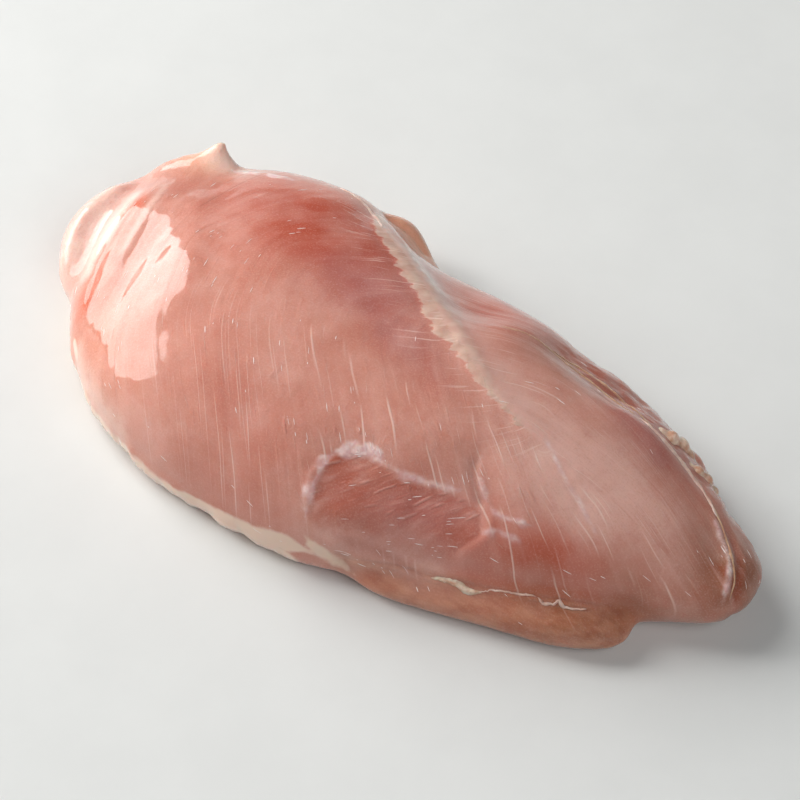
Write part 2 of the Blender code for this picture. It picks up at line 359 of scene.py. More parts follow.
# Colours as seen, from 0 to 255, on the screen
SALMON = (204, 139, 121)
DEEP_RED = (178, 78, 54)
WINE = (168, 100, 98)
ORANGE = (224, 134, 96)
PALE_PINK = (236, 190, 178)
FAT_BEIGE = (220, 190, 172)
BROWN = (156, 92, 60)
# Pale pink of the hazy fascia fan, partly a painted sheen standing for soft reflections on the wet
# surface
PALE_FAN_AND_SHEEN = (240, 194, 180)
RUST = (158, 78, 56)
ROSE = (190, 124, 118)
MAUVE = (190, 100, 88)
AMBER = (206, 86, 40)
EMBER = (166, 56, 30)
PALE_AMBER = (246, 184, 152)
SCARLET = (196, 82, 54)
DUSK = (136, 86, 60)
SHELL = (250, 222, 208)
FIBRE_WHITE = (248, 222, 210)
JELLY_DARK = (164, 98, 68)
JELLY_PALE = (220, 164, 130)
SEAM_SHADE = (204, 166, 150)
SEAM_JOINT = (236, 214, 196)
VEIL_SHADE = (226, 186, 186)
VEIL_PALE = (250, 230, 226)
CREAM_WHITE = (234, 204, 184)
FLOOR_GREY = (228, 229, 227)

# Patches of the flesh's colour: (place, radii, turn in degrees, colour, strength)
TINTS = (
    ((-36.0, 24.0), (26.0, 13.0), 10, DEEP_RED, 0.95),
    ((-31.0, 19.5), (20.0, 10.0), 5, EMBER, 0.85),
    ((-30.0, 29.0), (16.0, 7.0), 5, AMBER, 0.35),
    ((-24.0, 34.0), (14.0, 8.0), 0, DEEP_RED, 0.65),
    ((-21.0, 40.5), (15.0, 6.0), 0, PALE_AMBER, 0.95),
    ((-26.0, 12.0), (17.0, 10.0), 0, DEEP_RED, 0.85),
    ((-42.0, 2.0), (12.0, 9.0), 0, DEEP_RED, 0.30),
    ((-10.0, 6.0), (15.0, 9.0), 10, WINE, 0.70),
    ((6.0, -4.0), (12.0, 6.0), -20, WINE, 0.60),
    ((14.0, 20.0), (18.0, 9.0), -10, MAUVE, 0.75),
    ((30.0, 14.0), (16.0, 7.0), -10, BROWN, 0.40),
    ((44.0, 19.5), (11.0, 5.5), -15, RUST, 0.90),
    ((57.0, 10.0), (13.0, 7.0), -20, RUST, 0.75),
    ((58.0, 11.5), (11.0, 5.5), -20, EMBER, 0.95),
    # Pale patches over the fan towards the tail: hazy fascia, partly a painted sheen
    ((50.0, -11.0), (22.0, 10.0), -22, PALE_FAN_AND_SHEEN, 0.90),
    ((66.0, -7.0), (14.0, 8.0), -22, PALE_FAN_AND_SHEEN, 0.75),
    ((64.0, -19.0), (9.0, 6.0), -20, PALE_FAN_AND_SHEEN, 0.85),
    ((10.0, -36.5), (6.0, 5.0), 30, DEEP_RED, 0.70),
    ((28.0, -33.0), (12.0, 5.0), 25, ROSE, 0.80),
    ((34.0, -37.0), (12.0, 4.0), 15, PALE_PINK, 0.50),
    ((-19.0, -32.0), (9.0, 6.0), -20, DEEP_RED, 0.25),
    ((57.0, -26.5), (17.0, 5.0), 18, SCARLET, 1.00),
    ((42.0, -32.0), (9.0, 4.0), 18, SCARLET, 0.45),
    ((74.0, -21.0), (10.0, 5.0), -10, BROWN, 0.70),
    ((88.0, -6.0), (13.0, 13.0), 0, DUSK, 0.95),
    ((-60.0, -30.0), (20.0, 10.0), -38, ORANGE, 0.40),
    ((-84.0, 6.0), (7.5, 20.0), 4, PALE_PINK, 0.65),
    ((-84.0, 0.0), (3.5, 9.0), 4, SHELL, 0.55),
    ((-70.0, 32.0), (8.0, 5.0), 30, PALE_AMBER, 0.90),
    ((-68.0, 32.5), (6.0, 4.0), 0, SHELL, 0.90),
    ((30.0, -43.0), (26.0, 5.0), 14, BROWN, 0.55),
    ((60.0, 14.0), (9.0, 4.0), -20, RUST, 0.80),
    ((-15.0, -38.0), (14.0, 5.0), -12, DEEP_RED, 0.20),
    ((62.0, -32.0), (17.0, 6.5), 20, BROWN, 0.95),
    ((72.0, -28.5), (7.0, 5.0), 20, DUSK, 0.60),
    ((-10.0, -46.0), (34.0, 4.0), -4, DEEP_RED, 0.25),
)
# Bands of colour along a path: (path, half width, colour, strength)
BANDS = (
    (
        (
            (-77.0, 14.0), (-75.2, 5.0), (-74.6, 0.3), (-73.8, -4.4), (-73.2, -9.7),
            (-71.0, -16.9), (-68.1, -24.2),
        ),
        2.2,
        AMBER,
        0.95,
    ),
    # The pale band beside the amber one, nearer the shoulder end: partly pale translucent tissue,
    # partly a painted highlight where the shoulder's highlight runs on
    (
        ((-80.5, 17.0), (-79.5, 10.0), (-79.0, 4.9), (-78.2, -1.7), (-77.4, -7.0), (-75.0, -15.0)),
        1.6,
        SHELL,
        0.75,
    ),
    (((-75.0, 20.0), (-73.0, 12.6), (-72.0, 6.4), (-70.6, -1.3), (-69.4, -8.0)), 1.0, SHELL, 0.45),
    (((-87.0, 22.0), (-88.0, 12.0), (-88.0, 0.0), (-84.0, -12.0), (-78.0, -20.0)), 2.4, SHELL, 0.6),
    (((-69.0, -26.0), (-62.0, -33.0), (-52.0, -39.0), (-42.0, -43.0)), 1.8, SHELL, 0.5),
    (
        ((6.0, -44.5), (14.0, -42.4), (22.0, -40.0), (30.0, -38.0), (38.0, -35.0)),
        1.1,
        PALE_PINK,
        0.5,
    ),
    (
        ((38.0, 15.8), (46.0, 14.6), (54.0, 12.2), (62.0, 10.8), (70.0, 9.0), (76.0, 5.5)),
        1.0,
        PALE_PINK,
        0.5,
    ),
    (((78.5, 5.0), (83.0, 1.6), (87.4, -2.8), (90.2, -8.0), (91.2, -12.5)), 1.2, RUST, 0.6),
    # A thin dark line along the cleft of the side fold: painted shade in the crease
    (
        ((10.0, -43.6), (16.0, -42.0), (24.0, -39.4), (31.0, -37.8), (38.0, -36.2), (46.0, -33.2)),
        0.5,
        RUST,
        0.6,
    ),
    (((48.0, 13.0), (53.0, 11.0), (60.0, 8.0), (66.0, 5.0)), 3.0, WINE, 0.45),
)
# Places where glints crowd, for the bumps that catch real glints and for the pale painted glint dashes:
# (place, radius, strength)
GLINT_SPOTS = (
    ((-62.0, 14.0), 6.0, 1.0),
    ((-50.0, -9.0), 6.0, 0.8),
    ((-58.0, -24.0), 5.0, 0.7),
    ((-74.0, 12.0), 6.0, 0.8),
    ((-48.0, 4.0), 7.0, 1.0),
    ((-37.0, -8.0), 6.0, 0.8),
    ((-30.0, -20.0), 6.0, 0.8),
    ((-16.0, -24.0), 7.0, 0.8),
    ((-8.0, -30.0), 7.0, 1.0),
    ((3.0, -26.0), 7.0, 0.7),
    ((12.0, -29.0), 6.0, 1.0),
    ((18.0, -36.0), 9.0, 1.0),
    ((32.0, -32.0), 8.0, 1.0),
    ((25.0, -26.0), 7.0, 0.7),
    ((35.0, -22.0), 4.0, 1.0),
    ((42.0, -21.0), 6.0, 0.6),
    ((59.0, -29.0), 5.0, 0.6),
    ((60.0, 12.0), 5.0, 0.6),
    ((86.0, -6.0), 6.0, 0.7),
    ((-30.0, 13.0), 3.0, 0.8),
)

# Soft lights: (name, turn from the view and height in degrees, distance, size, power, colour,
# whether the wet surface mirrors it)
LIGHTS = (
    ("window_light", -56.0, 18.0, 1.1, (1.1, 0.60), 12.0, (1.0, 0.99, 0.975), True),
    ("high_light", -54.0, 45.0, 1.2, (0.8, 0.8), 8.5, (1.0, 1.0, 0.99), False),
    ("side_light", -75.0, 38.0, 1.6, (0.35, 0.35), 3.6, (1.0, 0.99, 0.98), False),
    ("fill_light", 150.0, 45.0, 1.2, (0.8, 0.8), 5.6, (0.97, 0.99, 1.0), False),
)
# The camera's aim in metres, and its lens and sensor in millimetres
AIM = Vector((-0.0031, 0.0072, 0.0))
LENS = 120.0
SENSOR = 36.0


def to_linear(seen):
    """A colour as seen on the screen, from 0 to 255, as linear light."""
    shares = [c / 255 for c in seen]
    return tuple(c / 12.92 if c <= 0.04045 else ((c + 0.055) / 1.055) ** 2.4 for c in shares)


def opaque(seen):
    """A colour as seen on the screen, for a colour socket."""
    return (*to_linear(seen), 1.0)


def smoothstep(low, high, value):
    t = np.clip((value - low) / (high - low), 0.0, 1.0)
    return t * t * (3 - 2 * t)


def bell(gap, half):
    """1 where a gap is 0, falling smoothly away either side."""
    return np.exp(-((gap / half) ** 2))


def eased_ends(share, start=0.2, end=0.2):
    """1 along a path, easing to 0 over a share of its length at each end."""
    return smoothstep(0.0, start, share) * smoothstep(1.0, 1.0 - end, share)


def fine_path(points, step=0.6):
    """A smooth curve through points of any number of axes, as an array with a point every step."""
    knots = np.array(points, float)
    ends = np.vstack([2 * knots[0] - knots[1], knots, 2 * knots[-1] - knots[-2]])
    out = []
    for p0, p1, p2, p3 in zip(ends, ends[1:], ends[2:], ends[3:]):
        count = max(2, int(np.linalg.norm((p2 - p1)[:2]) / step))
        for t in np.arange(count) / count:
            out.append(
                0.5
                * (
                    2 * p1
                    + (p2 - p0) * t
                    + (2 * p0 - 5 * p1 + 4 * p2 - p3) * t * t
                    + (3 * p1 - p0 - 3 * p2 + p3) * t**3
                )
            )
    out.append(knots[-1])
    return np.array(out)


def along_path(path, places, axes=2, reach=9.0):
    """For each place: distance to the path, which side of it (left is +1), and share of its length."""
    flat = path[:, :axes]
    gap = np.full(len(places), 4 * reach)
    side = np.zeros(len(places))
    share = np.zeros(len(places))
    spots = places[:, :axes]
    near = np.all((spots > flat.min(0) - reach) & (spots < flat.max(0) + reach), axis=1)
    index = np.flatnonzero(near)
    spots = spots[index]
    best, turns, shares = gap[index], side[index], share[index]
    for i, (a, b) in enumerate(zip(flat, flat[1:])):
        along = b - a
        from_start = spots - a
        t = np.clip(from_start @ along / max(along @ along, 1e-9), 0.0, 1.0)
        off = from_start - t[:, None] * along
        size = np.sqrt((off * off).sum(1))
        closer = size < best
        best[closer] = size[closer]
        turn = along[0] * off[:, 1] - along[1] * off[:, 0]
        turns[closer] = np.sign(turn[closer])
        shares[closer] = (i + t[closer]) / (len(flat) - 1)
    gap[index], side[index], share[index] = best, turns, shares
    return gap, side, share


def lattice_noise(places, cell, seed):
    """Smooth noise from -1 to 1 with cells of the given size, over two or three axes."""
    grid = np.asarray(places, float) / np.asarray(cell, float)
    low = np.floor(grid).astype(np.int64)
    t = grid - low
    t = t * t * (3 - 2 * t)
    axes = grid.shape[1]
    primes = (73856093, 19349663, 83492791)
    total = np.zeros(len(grid))
    for corner in range(2**axes):
        weight = np.ones(len(grid))
        code = np.full(len(grid), seed * 2654435761 % 4294967296, dtype=np.int64)
        for axis in range(axes):
            bit = corner >> axis & 1
            weight = weight * (t[:, axis] if bit else 1 - t[:, axis])
            code = code ^ ((low[:, axis] + bit) * primes[axis])
        code = (code ^ (code >> 13)) * 1274126177 & 0x7FFFFFFF
        code = code ^ (code >> 16)
        total += weight * ((code & 0xFFFF) / 32767.5 - 1)
    return total


def rough(places, cell, seed, octaves=3):
    """Layered lattice noise, each layer half the size and half the height of the last."""
    total = np.zeros(len(places))
    for k in range(octaves):
        total += lattice_noise(places, np.asarray(cell, float) / 2**k, seed + k) / 2**k
    return total / (2 - 2 ** (1 - octaves))


class FibreField:
    """Two coordinates in plan that follow the muscle: across the fibres and along them, in mm."""

    STEP = 2.0
    REACH = ((-104.0, 104.0), (-60.0, 60.0))
    STRETCH = 0.06
    ROUNDS = 420

    def __init__(self, strokes):
        (x0, x1), (y0, y1) = self.REACH
        self.xs = np.arange(x0, x1 + self.STEP, self.STEP)
        self.ys = np.arange(y0, y1 + self.STEP, self.STEP)
        gx, gy = np.meshgrid(self.xs, self.ys, indexing="ij")
        heading = np.zeros(gx.shape + (2,))
        for a, b in strokes:
            a, b = np.array(a), np.array(b)
            way = (b - a) / np.linalg.norm(b - a)
            for place in (a, (a + b) / 2, b):
                near = 1 / ((gx - place[0]) ** 2 + (gy - place[1]) ** 2 + 9.0) ** 1.5
                heading += near[..., None] * way
        heading /= np.linalg.norm(heading, axis=-1, keepdims=True)
        self.heading = heading
        left = np.stack([-heading[..., 1], heading[..., 0]], -1)
        self.along = self.solve(heading, left)
        self.across = self.solve(left, heading)

    def slopes(self, f):
        return np.stack(np.gradient(f, self.STEP), -1)

    def spread(self, flow):
        """The adjoint of slopes, by its inner and edge weights."""
        total = np.zeros_like(flow[..., 0])
        for axis in (0, 1):
            g = np.moveaxis(flow[..., axis], axis, 0)
            back = np.zeros_like(g)
            back[2:] += g[1:-1] / 2
            back[:-2] -= g[1:-1] / 2
            back[1] += g[0]
            back[0] -= g[0]
            back[-1] += g[-1]
            back[-2] -= g[-1]
            total += np.moveaxis(back, 0, axis) / self.STEP
        return total

    def solve(self, rising, level):
        """The surface whose slope is 1 along rising and as near 0 as can be along level."""

        def system(f):
            s = self.slopes(f)
            up = (s * rising).sum(-1) * self.STRETCH
            flat = (s * level).sum(-1)
            return self.spread(up[..., None] * rising + flat[..., None] * level) + 1e-7 * f

        want = self.spread(self.STRETCH * rising)
        f = np.zeros_like(want)
        rest = want - system(f)
        way = rest.copy()
        power = (rest * rest).sum()
        for _ in range(self.ROUNDS):
            pushed = system(way)
            size = power / max((way * pushed).sum(), 1e-30)
            f += size * way
            rest -= size * pushed
            new_power = (rest * rest).sum()
            way = rest + way * new_power / max(power, 1e-30)
            power = new_power
        return f

    def sample(self, grid, places):
        """A grid's values at plan places, between its points."""
        i = np.clip((places[:, 0] - self.xs[0]) / self.STEP, 0, len(self.xs) - 1.001)
        j = np.clip((places[:, 1] - self.ys[0]) / self.STEP, 0, len(self.ys) - 1.001)
        i0, j0 = i.astype(int), j.astype(int)
        s, t = i - i0, j - j0
        if grid.ndim == 3:
            s, t = s[:, None], t[:, None]
        return (
            grid[i0, j0] * (1 - s) * (1 - t)
            + grid[i0 + 1, j0] * s * (1 - t)
            + grid[i0, j0 + 1] * (1 - s) * t
            + grid[i0 + 1, j0 + 1] * s * t
        )

    def flow(self, places):
        """Across and along the fibres at plan places, in mm."""
        return np.stack([self.sample(self.across, places), self.sample(self.along, places)], 1)


def mesh_places(mesh):
    co = np.empty(len(mesh.vertices) * 3, np.float32)
    mesh.vertices.foreach_get("co", co)
    return co.reshape(-1, 3).astype(float) / MM


def mesh_normals(mesh):
    out = np.empty(len(mesh.vertices) * 3, np.float32)
    mesh.vertices.foreach_get("normal", out)
    return out.reshape(-1, 3).astype(float)


def set_places(mesh, places):
    mesh.vertices.foreach_set("co", (places * MM).astype(np.float32).ravel())
    mesh.update()


def store(mesh, name, values, kind="FLOAT"):
    """Keeps a number, a vector or a colour for each vertex under a name that materials read."""
    made = mesh.attributes.new(name, kind, "POINT")
    if kind == "FLOAT_COLOR":
        values = np.hstack([values, np.ones((len(values), 1))])
    field = {"FLOAT": "value", "FLOAT_VECTOR": "vector", "FLOAT_COLOR": "color"}[kind]
    made.data.foreach_set(field, np.asarray(values, np.float32).ravel())


def link(name, mesh):
    made = bpy.data.objects.new(name, mesh)
    bpy.context.scene.collection.objects.link(made)
    return made


def applied(piece):
    """Replaces a piece's modifiers by the mesh that they give."""
    graph = bpy.context.evaluated_depsgraph_get()
    mesh = bpy.data.meshes.new_from_object(piece.evaluated_get(graph))
    piece.modifiers.clear()
    old = piece.data
    piece.data = mesh
    mesh.name = piece.name
    if old.users == 0:
        bpy.data.meshes.remove(old)
    return mesh


def grown_skin(name, voxel):
    """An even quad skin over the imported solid, finer and smoother than its facets."""
    bm = bmesh.new()
    bm.from_mesh(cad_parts[SOLID].data)
    bmesh.ops.remove_doubles(bm, verts=bm.verts, dist=1e-6)
    mesh = bpy.data.meshes.new(name)
    bm.to_mesh(mesh)
    bm.free()
    skin = link(name, mesh)
    remesh = skin.modifiers.new("even", "REMESH")
    remesh.mode = "VOXEL"
    remesh.voxel_size = voxel
    ease = skin.modifiers.new("ease", "SMOOTH")
    ease.factor = 0.5
    ease.iterations = 4
    applied(skin)
    x, y, z = mesh_places(skin.data).T
    share = smoothstep(-54.0, -62.0, x) * smoothstep(28.0, 22.0, y) * smoothstep(6.0, 12.0, z)
    shoulder = skin.vertex_groups.new(name="shoulder")
    for index in np.flatnonzero(share > 0.01):
        shoulder.add([int(index)], float(share[index]), "REPLACE")
    calm = skin.modifiers.new("calm", "SMOOTH")
    calm.factor = 0.5
    calm.iterations = 34
    calm.vertex_group = "shoulder"
    finer = skin.modifiers.new("finer", "SUBSURF")
    finer.levels = 1
    finer.render_levels = 1
    applied(skin)
    return skin


def ring_inside(edge, places):
    """True for plan places inside a closed outline."""
    inside = np.zeros(len(places), bool)
    x, y = places[:, 0], places[:, 1]
    for (ax, ay), (bx, by) in zip(edge, np.roll(edge, -1, axis=0)):
        crosses = (ay > y) != (by > y)
        at = (bx - ax) * (y - ay) / (by - ay + 1e-12) + ax
        inside ^= crosses & (x < at)
    return inside


def seam_gaps(places):
    """How far inside the seam's edge each place is, which side it is on, and its share along."""
    path = fine_path(SEAM)
    gap, side, share = along_path(path, places)
    half = np.interp(share * (len(path) - 1), np.arange(len(path)), path[:, 2])
    return half - gap, side, share


def window_depth(places):
    """How far inside the torn window each plan place is; negative outside."""
    edge = np.array(WINDOW)
    gap, _, _ = along_path(np.vstack([edge, edge[:1]]), places)
    return np.where(ring_inside(edge, places), gap, -gap)


def near_left_rim(places):
    """1 along the low rim of the near and shoulder sides, where the fascia is ragged."""
    x, y, z = places.T
    low = (1 - smoothstep(4.0, 10.0, z)) * smoothstep(0.3, 1.6, z)
    return low * smoothstep(-2.0, -10.0, y) * (1 - smoothstep(0.0, 10.0, x))


def keel_share(places):
    """0 on the near side of the seam, 1 on the keel side, eased past the seam's end."""
    line = np.array([p[:2] for p in SEAM] + [(60.0, -10.5), (92.0, -14.0)])
    gap, side, share = along_path(line, places, reach=400.0)
    width = 0.8 + 4.0 * smoothstep(0.8, 0.9, share)
    return smoothstep(-1.0, 1.0, side * gap / width)


def path_inside(features, places, axes=2):
    """How far inside the nearest of some strips each place is, with tapered ends."""
    deep = np.full(len(places), -9.0)
    for points, half in features:
        gap, _, share = along_path(fine_path(points), places, axes)
        taper = eased_ends(share, 0.18, 0.18)
        deep = np.maximum(deep, half * (0.25 + 0.75 * taper) - gap)
    return deep


def crease_lift(places):
    """The creases, deeper and shallower along their way."""
    lift = np.zeros(len(places))
    wander = 0.5 + 0.5 * lattice_noise(places, 5.0, 21)
    for points, half, depth in CREASES:
        gap, _, share = along_path(fine_path(points), places)
        lift -= eased_ends(share) * depth * (0.6 + 0.6 * wander) * bell(gap, half)
    return lift


def shoulder_lift(places):
    """The soft ridge of the shoulder, steeper towards the dome."""
    gap, side, share = along_path(fine_path(SHOULDER_RIDGE), places, reach=26.0)
    flank = np.where(side < 0, 9.0, 4.2)
    return eased_ends(share, 0.15) * bell(gap, flank)


def fold_lift(places):
    """The fold over the side lobe: a rounded roll with a narrow cleft in it."""
    gap, _, share = along_path(fine_path(SIDE_FOLD), places, 3)
    return eased_ends(share, 0.1, 0.07) * (1.5 * bell(gap, 2.6) - 0.5 * bell(gap, 0.8))


def seam_lift(places):
    """The seam of fat, a little proud of the muscle, with a faint groove on its near side."""
    inside, side, share = seam_gaps(places)
    edge = np.where(side < 0, smoothstep(-1.8, 2.4, inside), smoothstep(-3.0, 2.6, inside))
    strip = edge * smoothstep(1.02, 0.8, share)
    groove = bell(inside + 0.7, 0.6) * smoothstep(1.0, 0.85, share) * (side < 0)
    return strip * (0.22 + 0.22 * rough(places, 3.0, 31, 2)) - 0.07 * groove


def window_lift(places):
    """The torn window, sunk under its edge, and the raised lips of fascia."""
    torn = window_depth(places)
    brink, _, _ = along_path(fine_path(TORN_EDGE), places)
    step = smoothstep(0.0, 1.0, brink) * bell(brink, 9.0) * (torn > -0.2)
    lift = -0.2 * step - smoothstep(0.0, 1.5, torn) * 0.3 * rough(places, 4.0, 41, 2)
    width = 0.85 + 0.45 * lattice_noise(places, 3.6, 51)
    crest = 0.7 + 0.7 * lattice_noise(places, 2.8, 52)
    for points, half, height in LIPS:
        gap, _, share = along_path(fine_path(points), places)
        lift += eased_ends(share) * height * crest * bell(gap, np.maximum(half * width, 0.35))
    return lift


def edge_lift(places, above):
    """The lumpy keel edge, the lumpy side lobe and the ragged low rim."""
    x, y, z = places.T
    beyond_keel = smoothstep(14.0, 20.0, y + 0.28 * (x - 40.0)) * smoothstep(26.0, 34.0, x)
    lobe = smoothstep(3.0, 6.0, z) * smoothstep(13.0, 10.0, z)
    lobe *= smoothstep(42.0, 48.0, x) * smoothstep(-25.0, -28.0, y)
    lift = beyond_keel * above * 0.7 * rough(places, (5.0, 3.0, 3.0), 61, 3)
    lift += lobe * 0.45 * np.abs(rough(places, 1.7, 66, 2))
    return lift + near_left_rim(places) * (0.4 + 1.1 * rough(places, (5.0, 5.0, 20.0), 71, 3))


def rib_lift(places, near, keel):
    """Faint ribs along the muscle on both sides of the seam."""
    keel_part = keel_share(places)
    lift = np.zeros(len(places))
    for field, mask in ((near, 1 - keel_part), (keel, keel_part)):
        flow = field.flow(places)
        ribs = lattice_noise(flow, (1.9, 24.0), 81) + 0.5 * lattice_noise(flow, (1.2, 14.0), 82)
        lift += 0.05 * ribs * mask
    return lift


def tag_shift(places):
    """How far each place is drawn out into the pale tag, as a vector."""
    x, y, z = places.T
    tag = smoothstep(-78.0, -67.5, x) * smoothstep(-63.5, -66.5, x) * smoothstep(16.0, 22.0, z)
    return (tag * bell(y - 33.2, 3.2))[:, None] * (-1.4, 1.4, 0.9)


def shape_skin(skin, near, keel):
    """Works the fillet's relief into the even skin, along its normals."""
    places = mesh_places(skin.data)
    normals = mesh_normals(skin.data)
    above = smoothstep(1.0, 8.0, places[:, 2])
    relief = 0.40 * rough(places, 22.0, 3, 2) + 0.12 * rough(places, 6.0, 11, 2)
    relief += crease_lift(places) + shoulder_lift(places) + seam_lift(places)
    relief += rib_lift(places, near, keel) * np.clip(normals[:, 2], 0.0, 1.0)
    lift = above * relief + fold_lift(places) + window_lift(places) + edge_lift(places, above)
    places = places + normals * lift[:, None]
    places += tag_shift(places)
    places[:, 2] = np.maximum(places[:, 2], 0.0)
    set_places(skin.data, places)


def laid(colour, tint, share):
    """Colours with a tint laid over them, by its share at each place."""
    share = np.clip(share, 0, 1)[:, None]
    return colour + share * (np.array(to_linear(tint)) - colour)


def meat_tint(places, bare):
    """The flesh's own colour: salmon, with its patches and bands and the bare muscle."""
    x, y, _ = places.T
    colour = np.tile(to_linear(SALMON), (len(places), 1))
    ragged = rough(places, 9.0, 91, 3)
    for (cx, cy), (rx, ry), turn, tint, strength in TINTS:
        c, s = math.cos(math.radians(turn)), math.sin(math.radians(turn))
        u = ((x - cx) * c + (y - cy) * s) / rx
        v = (-(x - cx) * s + (y - cy) * c) / ry
        colour = laid(colour, tint, strength * bell(np.hypot(u, v) + 0.28 * ragged, 1.0))
    for points, half, tint, strength in BANDS:
        gap, _, share = along_path(fine_path(points), places, reach=4 * half)
        share = strength * eased_ends(share, 0.15, 0.15) * bell(gap / half + 0.3 * ragged, 1.0)
        colour = laid(colour, tint, share)
    return laid(colour, DEEP_RED, 0.25 * bare)


def tint_skin(skin, near, keel):
    """Stores what the flesh's material reads: its colours, the fibres and the patches' depths."""
    mesh = skin.data
    places = mesh_places(mesh)
    x, y, z = places.T
    torn = window_depth(places)
    brink, _, _ = along_path(fine_path(TORN_EDGE), places, reach=40.0)
    bare = smoothstep(-0.4, 0.8, torn) * bell(brink, 9.5)
    flank = smoothstep(12.5, 9.0, z) * smoothstep(8.0, 16.0, x) * smoothstep(-18.0, -26.0, y)
    store(mesh, "meat_tint", meat_tint(places, bare), "FLOAT_COLOR")
    store(mesh, "torn_share", bare)
    store(mesh, "lobe_share", flank * smoothstep(0.5, 2.5, z))
    store(mesh, "shoulder_share", smoothstep(-44.0, -58.0, x) * smoothstep(8.0, 14.0, z))

    inside, side, share = seam_gaps(places)
    closed_end = inside - 2.5 * smoothstep(0.9, 1.0, share)
    seam = np.stack([closed_end, share * SEAM_LENGTH, side], 1)
    store(mesh, "seam_place", seam, "FLOAT_VECTOR")
    store(mesh, "film_inside", path_inside([lip[:2] for lip in LIPS], places))
    cream = np.maximum(path_inside(CREAM, places, 3), near_left_rim(places) * 3.0 - 1.7)
    store(mesh, "cream_inside", cream)
    store_fibres(mesh, places, near, keel, torn, inside)
    store(mesh, "glint_mask", glint_mask(places))


def store_fibres(mesh, places, near, keel, torn, inside):
    """Stores where the fibres show, which way they run and where raised strands crowd."""
    x, _, z = places.T
    gap, turn, _ = along_path(np.array(FASCIA_TOP), places, reach=400.0)
    below = np.where(turn < 0, gap, -gap)
    fascia = smoothstep(-2.0, 3.5, below + 2.5 * rough(places, 7.0, 95, 2))
    low_fade = smoothstep(7.0, 15.0, z) * (1 - smoothstep(-0.8, 0.6, torn))
    fascia = fascia * low_fade * smoothstep(-54.0, -38.0, x) * (1 - smoothstep(78.0, 88.0, x))
    fascia *= 0.55 + 0.45 * smoothstep(-32.0, 4.0, x)
    keel_part = keel_share(places)
    by_seam = smoothstep(20.0, 2.0, -inside) * smoothstep(-20.0, -4.0, x)
    on_keel = above_keel(places) * (0.35 + 0.65 * by_seam)
    store(mesh, "line_show", fascia * (1 - keel_part) + keel_part * on_keel)
    store(mesh, "streak_show", low_fade * (0.3 + 0.7 * smoothstep(-30.0, 10.0, x)))
    store(mesh, "keel_share", keel_part)
    for name, field in (("near_flow", near), ("keel_flow", keel)):
        flow = np.hstack([field.flow(places), np.zeros((len(places), 1))])
        store(mesh, name, flow, "FLOAT_VECTOR")

    way = near.sample(near.heading, places) * (1 - keel_part)[:, None]
    way += keel.sample(keel.heading, places) * keel_part[:, None]
    way[torn > 0] = (math.cos(TORN_TURN), math.sin(TORN_TURN))
    normals = mesh_normals(mesh)
    way = np.hstack([way, np.zeros((len(places), 1))])
    way -= normals * (way * normals).sum(1)[:, None]
    store(mesh, "fibre_way", way, "FLOAT_VECTOR")
    firm = smoothstep(20.0, 27.0, z) * (1 - smoothstep(60.0, 72.0, x))
    crowd = 0.35 + 0.65 * smoothstep(0.0, 30.0, x)
    store(mesh, "strand_mask", fascia * firm * (1 - keel_part) * crowd)


def above_keel(places):
    """1 on the upper keel side, where its fibres show."""
    x, _, z = places.T
    return smoothstep(9.0, 17.0, z) * smoothstep(-8.0, 0.0, x) * (1 - smoothstep(78.0, 88.0, x))


def glint_mask(places):
    """How many glints a place holds, from 0 to 1: it raises the bumps that catch real glints and sets
    where the pale painted glint dashes crowd.
    """
    total = np.full(len(places), 0.05)
    for (cx, cy), radius, strength in GLINT_SPOTS:
        far = np.hypot(places[:, 0] - cx, places[:, 1] - cy) / radius
        total = np.maximum(total, strength * np.exp(-far * far))
    clumps = smoothstep(-0.1, 0.5, rough(places, 3.0, 97, 2))
    return total * clumps * smoothstep(3.0, 7.0, places[:, 2])


class Surface:
    """The shaped flesh, to lay other pieces on."""

    def __init__(self, mesh):
        self.places = mesh_places(mesh)
        self.normals = mesh_normals(mesh)
        self.faces = [tuple(face.vertices) for face in mesh.polygons]
        self.tree = BVHTree.FromPolygons([Vector(p) for p in self.places], self.faces)

    def normal_at(self, face):
        return Vector(self.normals[list(self.faces[face])].mean(0)).normalized()

    def nearest(self, place):
        spot, _, face, _ = self.tree.find_nearest(Vector(place))
        return spot, self.normal_at(face)

    def under(self, x, y):
        """The place on the flesh straight below a point of the plan."""
        spot, _, face, _ = self.tree.ray_cast(Vector((x, y, 80.0)), Vector((0.0, 0.0, -1.0)))
        if spot is None:
            return self.nearest((x, y, 12.0))
        return spot, self.normal_at(face)


